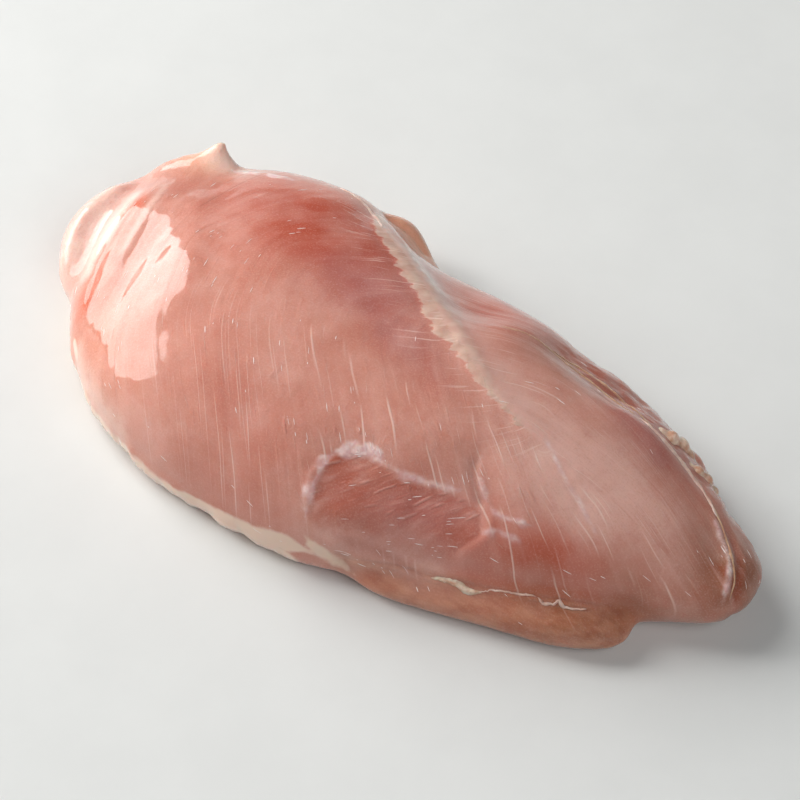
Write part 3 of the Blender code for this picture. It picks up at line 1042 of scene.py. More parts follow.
def membrane_strip(name, surface, path, height, ragged, seed, columns=9, step=0.35):
    """A thin closed strip with ragged sides that hugs the flesh along a path of half widths."""
    line = fine_path(path, step)
    steep = line.shape[1] == 4
    spots = [surface.nearest(p[:3]) if steep else surface.under(*p[:2]) for p in line]
    rows = len(spots)
    share = np.linspace(0, 1, rows)
    ends = np.sqrt(np.clip(np.minimum(share, 1 - share) * 12, 0.02, 1.0))
    reach = share * rows * step
    jags = []
    for k in (0, 1):
        along_side = np.stack([reach, np.full(rows, 3.7 * k)], 1)
        jags.append(1 + ragged * rough(along_side, (1.6, 5.0), seed + k, 3))
    verts = []
    for r, (spot, normal) in enumerate(spots):
        ahead = spots[min(r + 1, rows - 1)][0] - spots[max(r - 1, 0)][0]
        across = normal.cross(ahead).normalized()
        top, under = [], []
        for k in range(columns):
            u = 2 * k / (columns - 1) - 1
            half = line[r, -1] * ends[r] * max(jags[u > 0][r], 0.25)
            place, up = surface.nearest(spot + across * u * half)
            lumps = lattice_noise(np.array([[reach[r], u * 1.3]]), 0.9, seed + 7)[0]
            rise = height * ends[r] * (1 - u * u) * (0.85 + 0.4 * lumps) - 0.05 * u * u
            top.append(place + up * rise)
            under.append(place - up * 0.25)
        verts.append(top + under)
    faces = []
    for r in range(rows - 1):
        for k in range(columns - 1):
            a, b = r * 2 * columns + k, (r + 1) * 2 * columns + k
            faces.append((a, b, b + 1, a + 1))
            faces.append((a + columns, a + columns + 1, b + columns + 1, b + columns))
        a, b = r * 2 * columns, (r + 1) * 2 * columns
        faces.append((a, a + columns, b + columns, b))
        a, b = a + columns - 1, b + columns - 1
        faces.append((a, b, b + columns, a + columns))
    for r in (0, rows - 1):
        ring = [r * 2 * columns + k for k in range(columns)]
        ring += [r * 2 * columns + columns + k for k in reversed(range(columns))]
        faces.append(tuple(ring if r == 0 else reversed(ring)))
    mesh = bpy.data.meshes.new(name)
    mesh.from_pydata([v * MM for row in verts for v in row], [], faces)
    mesh.validate()
    mesh.shade_smooth()
    return link(name, mesh)


def fat_lumps(name, balls, seed, voxel=0.42):
    """Rounded lumps melted together, with an uneven surface."""
    bm = bmesh.new()
    for place, radius in balls:
        where = Matrix.Translation(Vector(place) * MM)
        bmesh.ops.create_icosphere(bm, subdivisions=3, radius=radius * MM, matrix=where)
    mesh = bpy.data.meshes.new(name)
    bm.to_mesh(mesh)
    bm.free()
    lumps = link(name, mesh)
    melt = lumps.modifiers.new("melt", "REMESH")
    melt.mode = "VOXEL"
    melt.voxel_size = voxel * MM
    ease = lumps.modifiers.new("ease", "SMOOTH")
    ease.factor = 0.6
    ease.iterations = 3
    applied(lumps)
    places = mesh_places(lumps.data)
    normals = mesh_normals(lumps.data)
    bumps = 0.3 * rough(places, 3.2, seed, 2) + 0.06 * rough(places, 0.9, seed + 5, 2)
    set_places(lumps.data, places + normals * bumps[:, None])
    lumps.data.shade_smooth()
    return lumps


class NodeWriter:
    """Adds and joins nodes with few words."""

    def __init__(self, tree):
        self.tree = tree

    def add(self, kind, settings=None, inputs=None):
        node = self.tree.nodes.new(kind)
        for key, value in (settings or {}).items():
            setattr(node, key, value)
        for key, value in (inputs or {}).items():
            self.put(node.inputs[key], value)
        return node

    def put(self, socket, value):
        if isinstance(value, bpy.types.NodeSocket):
            self.tree.links.new(value, socket)
        else:
            socket.default_value = value

    def math(self, operation, *values):
        node = self.add("ShaderNodeMath", {"operation": operation})
        for socket, value in zip(node.inputs, values):
            self.put(socket, value)
        return node.outputs[0]

    def times(self, a, b):
        return self.math("MULTIPLY", a, b)

    def plus(self, a, b):
        return self.math("ADD", a, b)

    def minus(self, a, b):
        return self.math("SUBTRACT", a, b)

    def attribute(self, name, output="Fac"):
        settings = {"attribute_type": "GEOMETRY", "attribute_name": name}
        return self.add("ShaderNodeAttribute", settings).outputs[output]

    def on_piece(self):
        """Where a place is on its piece, in metres."""
        return self.add("ShaderNodeTexCoord").outputs["Object"]

    def range(self, value, low, high, to_low=0.0, to_high=1.0):
        node = self.add(
            "ShaderNodeMapRange",
            {"interpolation_type": "SMOOTHSTEP"},
            {"Value": value, "From Min": low, "From Max": high, "To Min": to_low, "To Max": to_high},
        )
        return node.outputs["Result"]

    def noise(self, vector, scale, detail=2.0, roughness=0.5):
        node = self.add(
            "ShaderNodeTexNoise",
            {"noise_dimensions": "3D"},
            {"Vector": vector, "Scale": scale, "Detail": detail, "Roughness": roughness},
        )
        return node.outputs["Fac"]

    def mix(self, factor, low, high):
        node = self.add("ShaderNodeMix", {"data_type": "RGBA"})
        self.put(node.inputs[0], factor)
        self.put(node.inputs[6], low)
        self.put(node.inputs[7], high)
        return node.outputs[2]

    def blend(self, factor, low, high):
        node = self.add("ShaderNodeMix", {"data_type": "FLOAT"})
        self.put(node.inputs[0], factor)
        self.put(node.inputs[2], low)
        self.put(node.inputs[3], high)
        return node.outputs[0]

    def pack(self, x, y, z):
        return self.add("ShaderNodeCombineXYZ", inputs={0: x, 1: y, 2: z}).outputs[0]

    def split(self, vector):
        return self.add("ShaderNodeSeparateXYZ", inputs={0: vector}).outputs

    def rolls(self, vector):
        """Three random numbers for each value of a vector."""
        dice = self.add("ShaderNodeTexWhiteNoise", {"noise_dimensions": "3D"}, {"Vector": vector})
        return self.add("ShaderNodeSeparateColor", inputs={0: dice.outputs["Color"]}).outputs


def group(name, inputs, outputs):
    """A new shader node group with the given sockets, the inputs as (name, type, default)."""
    tree = bpy.data.node_groups.new(name, "ShaderNodeTree")
    for label, kind, default in inputs:
        socket = tree.interface.new_socket(label, in_out="INPUT", socket_type=kind)
        if default is not None:
            socket.default_value = default
    for label in outputs:
        tree.interface.new_socket(label, in_out="OUTPUT", socket_type="NodeSocketFloat")
    enter, leave = tree.nodes.new("NodeGroupInput"), tree.nodes.new("NodeGroupOutput")
    return NodeWriter(tree), enter.outputs, leave.inputs


def fibre_lines_group():
    """Separate thin fibres along a flow: each has its own place, start, length and strength."""
    n, enter, leave = group(
        "fibre_lines",
        (
            ("Flow", "NodeSocketVector", None),
            ("Spacing", "NodeSocketFloat", 1.0),
            ("Run", "NodeSocketFloat", 12.0),
            ("Width", "NodeSocketFloat", 0.16),
            ("Layer", "NodeSocketFloat", 0.0),
        ),
        ("Lines",),
    )
    layer = enter["Layer"]
    right, ahead, _ = n.split(enter["Flow"])
    drift = n.noise(n.pack(n.times(right, 0.35), n.times(ahead, 0.09), layer), 1.0, 1.0)
    cells = n.math("DIVIDE", n.plus(right, n.times(drift, 1.6)), enter["Spacing"])
    cell = n.math("FLOOR", cells)
    spot, shift, _ = n.rolls(n.pack(cell, layer, 0.0))
    middle = n.plus(n.times(spot, 0.5), 0.25)
    off = n.math("ABSOLUTE", n.minus(n.math("FRACT", cells), middle))
    off = n.times(off, enter["Spacing"])
    runs = n.plus(n.math("DIVIDE", ahead, enter["Run"]), n.times(shift, 9.0))
    stretch = n.math("FRACT", runs)
    first, last, strength = n.rolls(n.pack(cell, n.math("FLOOR", runs), n.plus(layer, 5.5)))
    start = n.times(first, 0.35)
    end = n.minus(1.0, n.times(last, 0.45))
    grows = n.range(stretch, start, n.plus(start, 0.2))
    fades = n.range(stretch, end, n.minus(end, 0.25))
    strong = n.range(strength, 0.15, 0.95)
    width = n.times(enter["Width"], n.plus(0.6, n.times(strong, 0.6)))
    profile = n.range(off, width, n.times(width, 0.15))
    n.put(leave["Lines"], n.times(n.times(profile, n.times(grows, fades)), strong))


def streak_group():
    """Broad soft streaks along a flow, in millimetres."""
    n, enter, leave = group(
        "muscle_streaks",
        (
            ("Flow", "NodeSocketVector", None),
            ("Width", "NodeSocketFloat", 2.2),
            ("Run", "NodeSocketFloat", 26.0),
        ),
        ("Streaks", "Ribs"),
    )
    right, ahead, _ = n.split(enter["Flow"])
    across = n.math("DIVIDE", right, enter["Width"])
    along = n.math("DIVIDE", ahead, enter["Run"])
    n.put(leave["Streaks"], n.noise(n.pack(across, along, 3.1), 1.0, 3.0, 0.6))
    ribs = n.pack(n.times(across, 3.2), n.times(along, 1.6), 8.7)
    n.put(leave["Ribs"], n.noise(ribs, 1.0, 2.0))


def torn_patch_group():
    """A patch with a ragged edge: how far inside its plain edge a place is, in mm, to a mask."""
    n, enter, leave = group(
        "torn_patch",
        (
            ("Inside", "NodeSocketFloat", 0.0),
            ("Where", "NodeSocketVector", None),
            ("Scale", "NodeSocketFloat", 900.0),
            ("Ragged", "NodeSocketFloat", 1.0),
            ("Softness", "NodeSocketFloat", 0.3),
        ),
        ("Mask",),
    )
    jag = n.minus(n.noise(enter["Where"], enter["Scale"], 3.0, 0.5), 0.5)
    edge = n.plus(enter["Inside"], n.times(jag, n.times(enter["Ragged"], 2.0)))
    soft = enter["Softness"]
    n.put(leave["Mask"], n.range(edge, n.times(soft, -1.0), soft))


def wet_grain_group():
    """Fine wet unevenness: a height for bump, made of crinkles and soft pools."""
    n, enter, leave = group(
        "wet_grain",
        (("Crinkle", "NodeSocketFloat", 1300.0), ("Pools", "NodeSocketFloat", 160.0)),
        ("Height", "Pools"),
    )
    where = n.on_piece()
    crinkle = n.noise(where, enter["Crinkle"], 3.0, 0.6)
    pools = n.noise(where, enter["Pools"], 3.0, 0.55)
    n.put(leave["Height"], n.plus(n.times(crinkle, 0.22), pools))
    n.put(leave["Pools"], pools)


def new_material(name):
    made = bpy.data.materials.new(name)
    made.use_nodes = True
    return made, NodeWriter(made.node_tree), made.node_tree.nodes["Principled BSDF"]


def wet_shader(shader, subsurface, reach, base_rough, coat, coat_rough):
    """Sets the constant values of a moist, slightly see-through surface on the shader itself."""
    constants = {
        "Subsurface Weight": subsurface,
        "Subsurface Radius": (1.0, 0.42, 0.28),
        "Subsurface Scale": reach,
        "Roughness": base_rough,
        "IOR": 1.38,
        "Coat Weight": coat,
        "Coat Roughness": coat_rough,
        "Coat IOR": 1.38,
        "Specular IOR Level": 0.18,
    }
    for name, value in constants.items():
        shader.inputs[name].default_value = value


def use_group(n, name, inputs):
    node = n.add("ShaderNodeGroup", {"node_tree": bpy.data.node_groups[name]})
    for key, value in inputs.items():
        n.put(node.inputs[key], value)
    return node.outputs


def fibres(n, flow, spacing, run, width, layer=0.0):
    """Fibre lines along a flow, with their spacing, run and width in millimetres."""
    inputs = {"Flow": flow, "Spacing": spacing, "Run": run, "Width": width, "Layer": layer}
    return use_group(n, "fibre_lines", inputs)["Lines"]


def patch(n, name, where, scale, ragged):
    """The mask of a patch whose depth the skin holds under a name."""
    inputs = {"Inside": n.attribute(name), "Where": where, "Scale": scale, "Ragged": ragged}
    return use_group(n, "torn_patch", {**inputs, "Softness": 0.6})["Mask"]


def muscle_flow(n):
    """The flow of the near side's fibres, and past the seam that of the keel side's."""
    flow = n.add("ShaderNodeMix", {"data_type": "VECTOR"})
    n.put(flow.inputs[0], n.math("GREATER_THAN", n.attribute("keel_share"), 0.5))
    n.put(flow.inputs[4], n.attribute("near_flow", "Vector"))
    n.put(flow.inputs[5], n.attribute("keel_flow", "Vector"))
    return flow.outputs[1]


def muscle_colour(n, where, streaks, streak_show):
    """The stored colour, clouded, mottled and streaked paler and deeper."""
    pale, deep = opaque(PALE_PINK), opaque(DEEP_RED)
    cloud = n.noise(where, 80.0, 2.0, 0.55)
    mottle = n.noise(where, 300.0, 3.0, 0.6)
    speck = n.noise(where, 2600.0, 1.0, 0.6)
    colour = n.attribute("meat_tint", "Color")
    colour = n.mix(n.range(cloud, 0.42, 0.72, 0.0, 0.22), colour, pale)
    colour = n.mix(n.range(cloud, 0.52, 0.28, 0.0, 0.16), colour, deep)
    colour = n.mix(n.range(mottle, 0.45, 0.8, 0.0, 0.2), colour, deep)
    colour = n.mix(n.range(speck, 0.5, 0.75, 0.0, 0.16), colour, pale)
    colour = n.mix(n.range(speck, 0.5, 0.28, 0.0, 0.14), colour, deep)
    colour = n.mix(n.times(n.range(streaks, 0.48, 0.75, 0.0, 0.22), streak_show), colour, pale)
    return n.mix(n.times(n.range(streaks, 0.5, 0.25, 0.0, 0.20), streak_show), colour, deep)


def window_look(n, colour, where, torn):
    """Bare muscle in the torn window, in bundles and slips that run their own way."""
    pale, deep = opaque(PALE_PINK), opaque(DEEP_RED)
    turned = n.add(
        "ShaderNodeMapping",
        {"vector_type": "TEXTURE"},
        {"Vector": where, "Rotation": (0.0, 0.0, TORN_TURN), "Scale": (MM, MM, MM)},
    )
    ahead, right, _ = n.split(turned.outputs[0])
    bundles = n.noise(n.pack(n.times(right, 0.6), n.times(ahead, 0.11), 1.0), 1.0, 3.0, 0.6)
    slips = fibres(n, n.pack(right, ahead, 0.0), 1.7, 6.0, 0.3, 2.0)
    colour = n.mix(n.times(n.range(bundles, 0.48, 0.72, 0.0, 0.34), torn), colour, pale)
    colour = n.mix(n.times(n.range(bundles, 0.5, 0.3, 0.0, 0.30), torn), colour, deep)
    return n.mix(n.times(slips, n.times(torn, 0.3)), colour, pale), bundles, slips


def lobe_look(n, colour, where):
    """Soft clouded tissue over the side lobe."""
    stretched = n.add(
        "ShaderNodeMapping", {"vector_type": "POINT"}, {"Vector": where, "Scale": (140.0, 420.0, 420.0)}
    )
    cloud = n.noise(stretched.outputs[0], 1.0, 3.0, 0.6)
    jelly = n.mix(n.range(cloud, 0.3, 0.7), opaque(JELLY_DARK), opaque(JELLY_PALE))
    return n.mix(n.times(n.attribute("lobe_share"), 0.34), colour, jelly)


def seam_look(n, colour, where, fat_colour):
    """The seam of fat: its jagged edges and joints, the wisps on its left and its right halo."""
    inside, along, side = n.split(n.attribute("seam_place", "Vector"))
    left = n.range(n.times(side, -1.0), -0.5, 0.5)
    slant = n.minus(along, n.times(inside, 0.48))
    teeth = n.noise(n.pack(n.times(slant, 0.3), n.times(inside, 0.06), 2.0), 1.0, 2.5, 0.6)
    reach = n.times(n.minus(teeth, 0.5), n.blend(left, 2.4, 6.0))
    jag = n.times(n.minus(n.noise(where, 900.0, 3.0, 0.6), 0.5), 1.3)
    edge = n.plus(n.plus(inside, reach), jag)
    seam = n.range(edge, n.blend(left, -1.5, -0.3), n.blend(left, 1.3, 0.5))
    seam = n.times(seam, n.range(inside, -3.6, -2.0))

    grains = n.noise(where, 330.0, 2.0, 0.5)
    joints = n.noise(n.pack(n.times(along, 0.45), n.times(inside, 0.12), 9.0), 1.0, 2.0)
    fat = n.mix(n.range(grains, 0.3, 0.7), opaque(SEAM_SHADE), (*fat_colour, 1.0))
    fat = n.mix(n.times(n.range(joints, 0.44, 0.56), 0.25), fat, opaque(SEAM_JOINT))
    colour = n.mix(n.times(seam, 0.8), colour, fat)

    wisps = n.noise(n.pack(n.times(slant, 1.25), n.times(inside, 0.07), 5.0), 1.0, 2.0, 0.5)
    wisps = n.times(n.range(wisps, 0.58, 0.68), n.times(left, n.range(inside, -11.0, -1.0)))
    colour = n.mix(n.times(wisps, 0.45), colour, opaque(FIBRE_WHITE))
    halo = n.times(n.range(inside, -7.0, -0.5), n.minus(1.0, left))
    return n.mix(n.times(halo, 0.28), colour, opaque(PALE_PINK)), seam, grains


def film_look(n, colour, where, fascia_colour):
    """Cream fat in the low rim, and patchy pale film on the lips of fascia."""
    cream = patch(n, "cream_inside", where, 260.0, 1.0)
    colour = n.mix(n.times(cream, 0.95), colour, (*fascia_colour, 1.0))
    film = patch(n, "film_inside", where, 380.0, 0.7)
    film = n.times(film, n.range(n.noise(where, 210.0, 2.0, 0.5), 0.36, 0.54, 0.15, 1.0))
    veil = n.range(n.noise(where, 520.0, 2.0), 0.35, 0.65)
    veil = n.mix(veil, opaque(VEIL_SHADE), opaque(VEIL_PALE))
    return n.mix(n.times(film, 0.7), colour, veil), film


def flesh_material(colours):
    """Raw muscle under thin clear fascia: patches, fibres, the fat seam, pale film and a wet coat."""
    made, n, shader = new_material("raw_flesh")
    where = n.on_piece()
    flow = muscle_flow(n)
    fine = fibres(n, flow, 0.8, 15.0, 0.13)
    strong = fibres(n, flow, 2.7, 13.0, 0.13, 4.0)
    glints = fibres(n, flow, 1.5, 4.5, 0.22, 9.0)
    wide = use_group(n, "muscle_streaks", {"Flow": flow})
    show = n.attribute("line_show")
    streak_show = n.attribute("streak_show")
    torn = n.attribute("torn_share")

    colour = muscle_colour(n, where, wide["Streaks"], streak_show)
    colour, bundles, slips = window_look(n, colour, where, torn)
    colour = lobe_look(n, colour, where)
    haze = n.times(show, n.range(n.noise(where, 110.0, 3.0), 0.3, 0.7, 0.06, 0.2))
    colour = n.mix(haze, colour, opaque(PALE_PINK))
    lines = n.times(n.math("MAXIMUM", n.times(fine, 0.52), n.times(strong, 0.3)), show)
    colour = n.mix(lines, colour, opaque(FIBRE_WHITE))
    colour, seam, grains = seam_look(n, colour, where, colours.fat)
    colour, film = film_look(n, colour, where, colours.fascia)
    n.put(shader.inputs["Base Color"], colour)

    grain = use_group(n, "wet_grain", {})
    wet_shader(shader, 0.5, 0.0042, 0.36, 1.0, 0.06)
    n.put(shader.inputs["Roughness"], n.range(grain["Pools"], 0.3, 0.7, 0.40, 0.60))
    damp = n.attribute("glint_mask")
    shoulder = n.attribute("shoulder_share")
    heights = (
        (grain["Height"], 0.5),
        (n.times(n.noise(where, 1500.0, 3.0, 0.6), damp), 2.2),
        (n.times(glints, n.range(damp, 0.1, 0.5, 0.15, 1.0)), 1.6),
        (n.times(slips, torn), 2.2),
        (n.times(wide["Ribs"], streak_show), 0.5),
        (lines, 0.6),
        (n.times(bundles, torn), 3.0),
        (n.times(grains, seam), 0.7),
        (seam, 0.35),
        (n.times(film, n.noise(where, 900.0, 2.0)), 0.6),
        (n.times(strong, shoulder), -2.4),
        (n.times(n.noise(where, 900.0, 3.0, 0.65), shoulder), 1.5),
    )
    height = 0.0
    for value, weight in heights:
        height = n.plus(height, n.times(value, weight))
    bump = {"Strength": 0.55, "Distance": 0.00025, "Height": height}
    n.put(shader.inputs["Normal"], n.add("ShaderNodeBump", inputs=bump).outputs[0])
    return made


def tissue_material(name, low, high, subsurface, coat=0.7):
    """Fat, film, fibre strands and the pale painted glints: two close colours clouded together under a
    wet coat.
    """
    made, n, shader = new_material(name)
    cloud = n.range(n.noise(n.on_piece(), 420.0, 3.0, 0.6), 0.32, 0.68)
    n.put(shader.inputs["Base Color"], n.mix(cloud, opaque(low), opaque(high)))
    wet_shader(shader, subsurface, 0.002, 0.34, coat, 0.1)
    grain = use_group(n, "wet_grain", {"Crinkle": 2200.0, "Pools": 520.0})
    bump = {"Strength": 0.5, "Distance": 0.0002, "Height": grain["Height"]}
    n.put(shader.inputs["Normal"], n.add("ShaderNodeBump", inputs=bump).outputs[0])
    return made


class FilletSizes(bpy.types.PropertyGroup):
    """Sizes of the fillet's skin and of the view."""

    skin_step: bpy.props.FloatProperty(
        name="Skin step",
        description="Edge of the even skin before it is halved",
        default=0.00132,
        unit="LENGTH",
    )
    strands: bpy.props.FloatProperty(
        name="Strands",
        description="Raised fibres on each square centimetre where they crowd",
        default=3.2,
    )
    # Painted glints: pale dashes that stand for glints of light, on each square centimetre where they
    # crowd
    glints: bpy.props.FloatProperty(
        name="Glints",
        description="Glints of moisture on each square centimetre where they crowd",
        default=26.0,
    )
    view_elevation: bpy.props.FloatProperty(
        name="View elevation",
        description="Camera's height over the horizon",
        default=math.radians(50.0),
        subtype="ANGLE",
    )
    view_azimuth: bpy.props.FloatProperty(
        name="View azimuth",
        description="Camera's turn round the fillet",
        default=math.radians(32.4),
        subtype="ANGLE",
    )
    view_distance: bpy.props.FloatProperty(
        name="View distance", description="Camera to the aim point", default=0.609, unit="LENGTH"
    )


class FilletColours(bpy.types.PropertyGroup):
    """Colours of the fillet's fat, fascia and floor, as linear light."""

    fat: bpy.props.FloatVectorProperty(
        name="Fat",
        description="Beige fat",
        default=to_linear(FAT_BEIGE),
        subtype="COLOR",
        min=0,
        max=1,
    )
    fascia: bpy.props.FloatVectorProperty(
        name="Fascia",
        description="Pale film",
        default=to_linear(CREAM_WHITE),
        subtype="COLOR",
        min=0,
        max=1,
    )
    floor: bpy.props.FloatVectorProperty(
        name="Floor",
        description="Pale floor",
        default=to_linear(FLOOR_GREY),
        subtype="COLOR",
        min=0,
        max=1,
    )


class FILLET_OT_flesh(bpy.types.Operator):
    """Grow the flesh over the solid, with its relief, colours and fibres"""

    bl_idname = "fillet.flesh"
    bl_label = "Flesh"

    def execute(self, context):
        near, keel = FibreField(NEAR_FIBRES), FibreField(KEEL_FIBRES)
        skin = grown_skin("flesh", context.scene.fillet_sizes.skin_step)
        shape_skin(skin, near, keel)
        tint_skin(skin, near, keel)
        skin.data.shade_smooth()
        skin.data.materials.clear()
        skin.data.materials.append(flesh_material(context.scene.fillet_colours))
        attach(skin, BODY)
        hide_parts(SOLID)
        return {"FINISHED"}


class FILLET_OT_tissue(bpy.types.Operator):
    """Lay the strips of membrane and the lumps of fat on the flesh"""

    bl_idname = "fillet.tissue"
    bl_label = "Tissue"

    def execute(self, context):
        surface = Surface(bpy.data.objects["flesh"].data)
        colours = {
            "film": tissue_material("pale_film", (222, 176, 160), (240, 206, 192), 0.25),
            "fat": tissue_material("cream_fat", (204, 154, 128), (242, 218, 198), 0.5),
            "lobe": tissue_material("soft_fat", (200, 140, 112), (224, 176, 146), 0.45),
        }
        for k, (name, path, height, colour, ragged) in enumerate(STRIPS):
            strip = membrane_strip(name, surface, path, height, ragged, 200 + 11 * k)
            strip.data.materials.append(colours[colour])
            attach(strip, BODY)
        for k, (name, balls, colour) in enumerate(LUMPS):
            lumps = fat_lumps(name, balls, 400 + 13 * k)
            lumps.data.materials.append(colours[colour])
            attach(lumps, BODY)
        return {"FINISHED"}


def scatter_tree():
    """Scatters a small piece over a surface where a mask allows, turned along the fibres, and
    presses it on to the surface: each of its points keeps only its own rise."""
    tree = bpy.data.node_groups.new("hug_scatter", "GeometryNodeTree")
    sockets = (
        ("Surface", "NodeSocketObject"),
        ("Piece", "NodeSocketObject"),
        ("Mask", "NodeSocketString"),
        ("Density", "NodeSocketFloat"),
        ("Seed", "NodeSocketInt"),
        ("Least Size", "NodeSocketVector"),
        ("Most Size", "NodeSocketVector"),
        ("Material", "NodeSocketMaterial"),
    )
    for label, kind in sockets:
        tree.interface.new_socket(label, in_out="INPUT", socket_type=kind)
    tree.interface.new_socket("Geometry", in_out="OUTPUT", socket_type="NodeSocketGeometry")
    n = NodeWriter(tree)
    enter = tree.nodes.new("NodeGroupInput")
    leave = tree.nodes.new("NodeGroupOutput")
    get = enter.outputs
    surface = n.add("GeometryNodeObjectInfo", {"transform_space": "RELATIVE"}, {0: get["Surface"]})
    piece = n.add("GeometryNodeObjectInfo", {"transform_space": "ORIGINAL"}, {0: get["Piece"]})
    mask = n.add("GeometryNodeInputNamedAttribute", {"data_type": "FLOAT"}, {"Name": get["Mask"]})
    density = n.math("MULTIPLY", mask.outputs["Attribute"], get["Density"])
    spread = n.add(
        "GeometryNodeDistributePointsOnFaces",
        {"distribute_method": "RANDOM"},
        {"Mesh": surface.outputs["Geometry"], "Density": density, "Seed": get["Seed"]},
    )
    way = n.add("GeometryNodeInputNamedAttribute", {"data_type": "FLOAT_VECTOR"}, {"Name": "fibre_way"})
    turn = n.add(
        "FunctionNodeAxesToRotation",
        {"primary_axis": "Z", "secondary_axis": "X"},
        {"Primary Axis": spread.outputs["Normal"], "Secondary Axis": way.outputs["Attribute"]},
    )
    size = n.add("FunctionNodeRandomValue", {"data_type": "FLOAT_VECTOR"})
    n.put(size.inputs[0], get["Least Size"])
    n.put(size.inputs[1], get["Most Size"])
    n.put(size.inputs["Seed"], get["Seed"])
    placed = n.add(
        "GeometryNodeInstanceOnPoints",
        inputs={
            "Points": spread.outputs["Points"],
            "Instance": piece.outputs["Geometry"],
            "Rotation": turn.outputs[0],
            "Scale": size.outputs[0],
        },
    )
    real = n.add("GeometryNodeRealizeInstances", inputs={0: placed.outputs[0]})
    here = n.add("GeometryNodeInputPosition").outputs[0]
    closest = n.add("GeometryNodeProximity", {"target_element": "FACES"})
    n.put(closest.inputs[0], surface.outputs["Geometry"])
    n.put(closest.inputs["Sample Position"], here)
    normal = n.add("GeometryNodeInputNormal").outputs[0]
    sampled = n.add("GeometryNodeSampleNearestSurface", {"data_type": "FLOAT_VECTOR"})
    n.put(sampled.inputs["Mesh"], surface.outputs["Geometry"])
    n.put(sampled.inputs["Value"], normal)
    n.put(sampled.inputs["Sample Position"], here)
    rise = n.add("GeometryNodeInputNamedAttribute", {"data_type": "FLOAT"}, {"Name": "rise"})
    lifted = n.add("ShaderNodeVectorMath", {"operation": "SCALE"})
    n.put(lifted.inputs[0], sampled.outputs[0])
    n.put(lifted.inputs["Scale"], rise.outputs["Attribute"])
    moved = n.add("ShaderNodeVectorMath", {"operation": "ADD"})
    n.put(moved.inputs[0], closest.outputs["Position"])
    n.put(moved.inputs[1], lifted.outputs[0])
    hugged = n.add("GeometryNodeSetPosition")
    n.put(hugged.inputs["Geometry"], real.outputs[0])
    n.put(hugged.inputs["Position"], moved.outputs[0])
    tinted = n.add("GeometryNodeSetMaterial")
    n.put(tinted.inputs["Geometry"], hugged.outputs[0])
    n.put(tinted.inputs["Material"], get["Material"])
    n.put(leave.inputs[0], tinted.outputs[0])


def strand_piece():
    """One fibre, a millimetre long and wide, that thins to its ends."""
    sections, rise, verts, faces = 16, [], [], []
    for k in range(sections):
        t = k / (sections - 1)
        full = math.sin(math.pi * t) ** 0.6
        for u, height in ((-1, -0.03), (-0.5, 0.05), (0.5, 0.05), (1, -0.03)):
            verts.append(((t - 0.5) * MM, u * 0.5 * full * MM, 0.0))
            rise.append(height * MM if height < 0 else height * full * MM)
    for k in range(sections - 1):
        for u in range(3):
            a, b = 4 * k + u, 4 * k + 4 + u
            faces.append((a, b, b + 1, a + 1))
    mesh = bpy.data.meshes.new("strand_piece")
    mesh.from_pydata(verts, [], faces)
    store(mesh, "rise", np.array(rise))
    mesh.shade_smooth()
    return link("strand_piece", mesh)


def scattered(name, settings):
    """A strand scattered over the flesh by geometry nodes and kept as plain mesh."""
    piece = strand_piece()
    made = link(name, bpy.data.meshes.new(name))
    tree = bpy.data.node_groups["hug_scatter"]
    nodes = made.modifiers.new("scatter", "NODES")
    nodes.node_group = tree
    settings = {"Surface": bpy.data.objects["flesh"], "Piece": piece, **settings}
    for item in tree.interface.items_tree:
        if item.in_out == "INPUT":
            nodes[item.identifier] = settings[item.name]
    applied(made)
    bpy.data.objects.remove(piece)
    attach(made, BODY)


class FILLET_OT_strands(bpy.types.Operator):
    """Scatter raised fibres and painted glints, pale dashes that stand for glints of light, over the
    flesh
    """

    bl_idname = "fillet.strands"
    bl_label = "Strands"

    def execute(self, context):
        sizes = context.scene.fillet_sizes
        scatter_tree()
        strand = tissue_material("fibre_strand", (214, 164, 148), (230, 188, 172), 0.0)
        scattered(
            "fibre_strands",
            {
                "Mask": "strand_mask",
                "Density": sizes.strands / CM2,
                "Seed": 7,
                "Least Size": (2.0, 0.07, 1.0),
                "Most Size": (5.5, 0.13, 1.0),
                "Material": strand,
            },
        )
        # Pale near-white dashes under a wet coat: painted glints, standing for glints of light on the
        # wet flesh
        glint_paint = tissue_material("moisture", (244, 222, 216), (255, 246, 242), 0.0, 1.0)
        scattered(
            "moisture_glints",
            {
                "Mask": "glint_mask",
                "Density": sizes.glints / CM2,
                "Seed": 21,
                "Least Size": (0.3, 0.09, 1.0),
                "Most Size": (2.6, 0.22, 1.0),
                "Material": glint_paint,
            },
        )
        return {"FINISHED"}


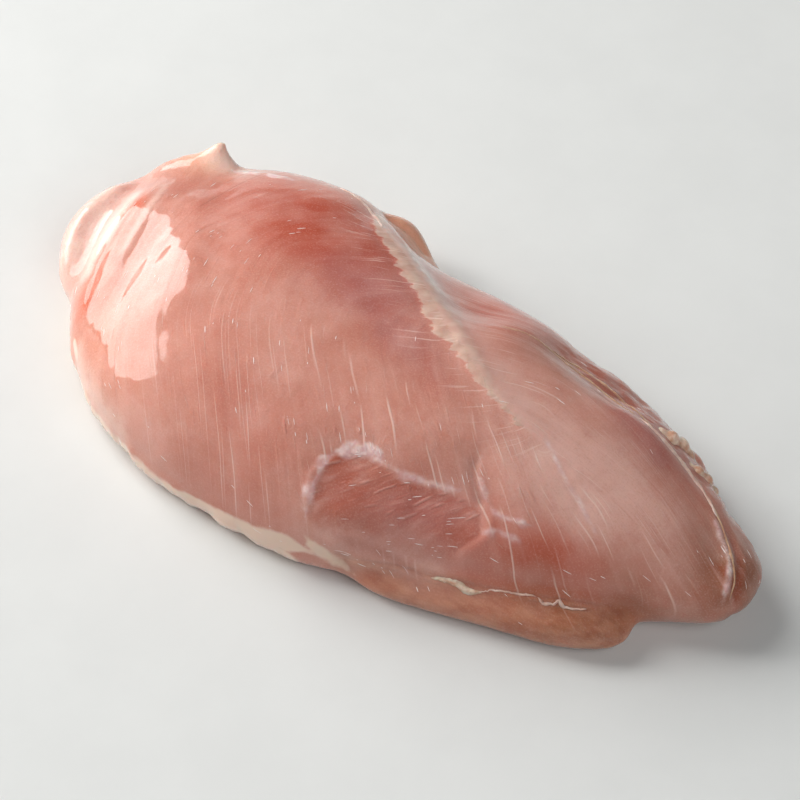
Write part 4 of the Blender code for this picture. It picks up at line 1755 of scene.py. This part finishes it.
class FILLET_OT_stage(bpy.types.Operator):
    """Set the pale floor, the soft lights and the camera"""

    bl_idname = "fillet.stage"
    bl_label = "Stage"

    def execute(self, context):
        sizes = context.scene.fillet_sizes
        colours = context.scene.fillet_colours
        self.floor(colours)
        self.lights(context, sizes)
        self.room(context)
        self.camera(context, sizes)
        context.scene.view_settings.view_transform = "Standard"
        return {"FINISHED"}

    def floor(self, colours):
        bm = bmesh.new()
        bmesh.ops.create_grid(bm, x_segments=2, y_segments=2, size=2.0)
        mesh = bpy.data.meshes.new("floor")
        bm.to_mesh(mesh)
        bm.free()
        floor = link("floor", mesh)
        floor.location.z = -0.0002
        made, n, shader = new_material("pale_floor")
        specks = n.range(n.noise(n.on_piece(), 35.0, 5.0, 0.6), 0.3, 0.7)
        dark = (*(c * 0.97 for c in colours.floor), 1.0)
        n.put(shader.inputs["Base Color"], n.mix(specks, dark, (*colours.floor, 1.0)))
        shader.inputs["Roughness"].default_value = 0.65
        shader.inputs["Specular IOR Level"].default_value = 0.25
        mesh.materials.append(made)

    def lights(self, context, sizes):
        for name, azimuth, elevation, far, size, power, colour, mirrored in LIGHTS:
            lamp = bpy.data.lights.new(name, "AREA")
            lamp.shape = "RECTANGLE"
            lamp.size, lamp.size_y = size
            lamp.energy = power
            lamp.color = colour
            holder = bpy.data.objects.new(name, lamp)
            a, e = sizes.view_azimuth - math.radians(azimuth), math.radians(elevation)
            way = Vector((-math.sin(a) * math.cos(e), math.cos(a) * math.cos(e), math.sin(e)))
            holder.location = way * far
            holder.rotation_mode = "QUATERNION"
            holder.rotation_quaternion = (-way).to_track_quat("-Z", "Y")
            holder.visible_glossy = mirrored
            context.scene.collection.objects.link(holder)

    def room(self, context):
        """A dim even room that shows more strongly in the wet surface than it lights."""
        world = bpy.data.worlds.new("soft_room")
        world.use_nodes = True
        n = NodeWriter(world.node_tree)
        sky = world.node_tree.nodes["Background"]
        sky.inputs["Color"].default_value = (0.98, 0.99, 1.0, 1.0)
        mirrored = n.add("ShaderNodeLightPath").outputs["Is Glossy Ray"]
        n.put(sky.inputs["Strength"], n.range(mirrored, 0.0, 1.0, 0.04, 0.28))
        context.scene.world = world

    def camera(self, context, sizes):
        a, e = sizes.view_azimuth, sizes.view_elevation
        back = Vector((math.sin(a) * math.cos(e), -math.cos(a) * math.cos(e), math.sin(e)))
        lens = bpy.data.cameras.new("camera")
        lens.lens = LENS
        lens.sensor_width = SENSOR
        lens.clip_start = 0.01
        holder = bpy.data.objects.new("camera", lens)
        holder.location = AIM + back * sizes.view_distance
        holder.rotation_mode = "QUATERNION"
        holder.rotation_quaternion = (-back).to_track_quat("-Z", "Y")
        context.scene.collection.objects.link(holder)
        context.scene.camera = holder


class FILLET_PT_panel(bpy.types.Panel):
    """The fillet's pieces, sizes and colours"""

    bl_idname = "FILLET_PT_panel"
    bl_label = "Raw chicken breast fillet"
    bl_space_type = "VIEW_3D"
    bl_region_type = "UI"
    bl_category = "Fillet"

    def draw(self, context):
        for made in (context.scene.fillet_sizes, context.scene.fillet_colours):
            for name in made.__annotations__:
                self.layout.prop(made, name)
        for operator in OPERATORS:
            self.layout.operator(operator.bl_idname)


OPERATORS = (FILLET_OT_flesh, FILLET_OT_tissue, FILLET_OT_strands, FILLET_OT_stage)
CLASSES = (FilletSizes, FilletColours, *OPERATORS, FILLET_PT_panel)


def register():
    for made in CLASSES:
        bpy.utils.register_class(made)
    bpy.types.Scene.fillet_sizes = bpy.props.PointerProperty(type=FilletSizes)
    bpy.types.Scene.fillet_colours = bpy.props.PointerProperty(type=FilletColours)


def unregister():
    del bpy.types.Scene.fillet_colours
    del bpy.types.Scene.fillet_sizes
    for made in reversed(CLASSES):
        bpy.utils.unregister_class(made)


def main():
    register()
    for build in (fibre_lines_group, streak_group, torn_patch_group, wet_grain_group):
        build()
    bpy.ops.fillet.flesh()
    bpy.ops.fillet.tissue()
    bpy.ops.fillet.strands()
    bpy.ops.fillet.stage()
    bpy.context.view_layer.update()


if __name__ == "__main__":
    main()
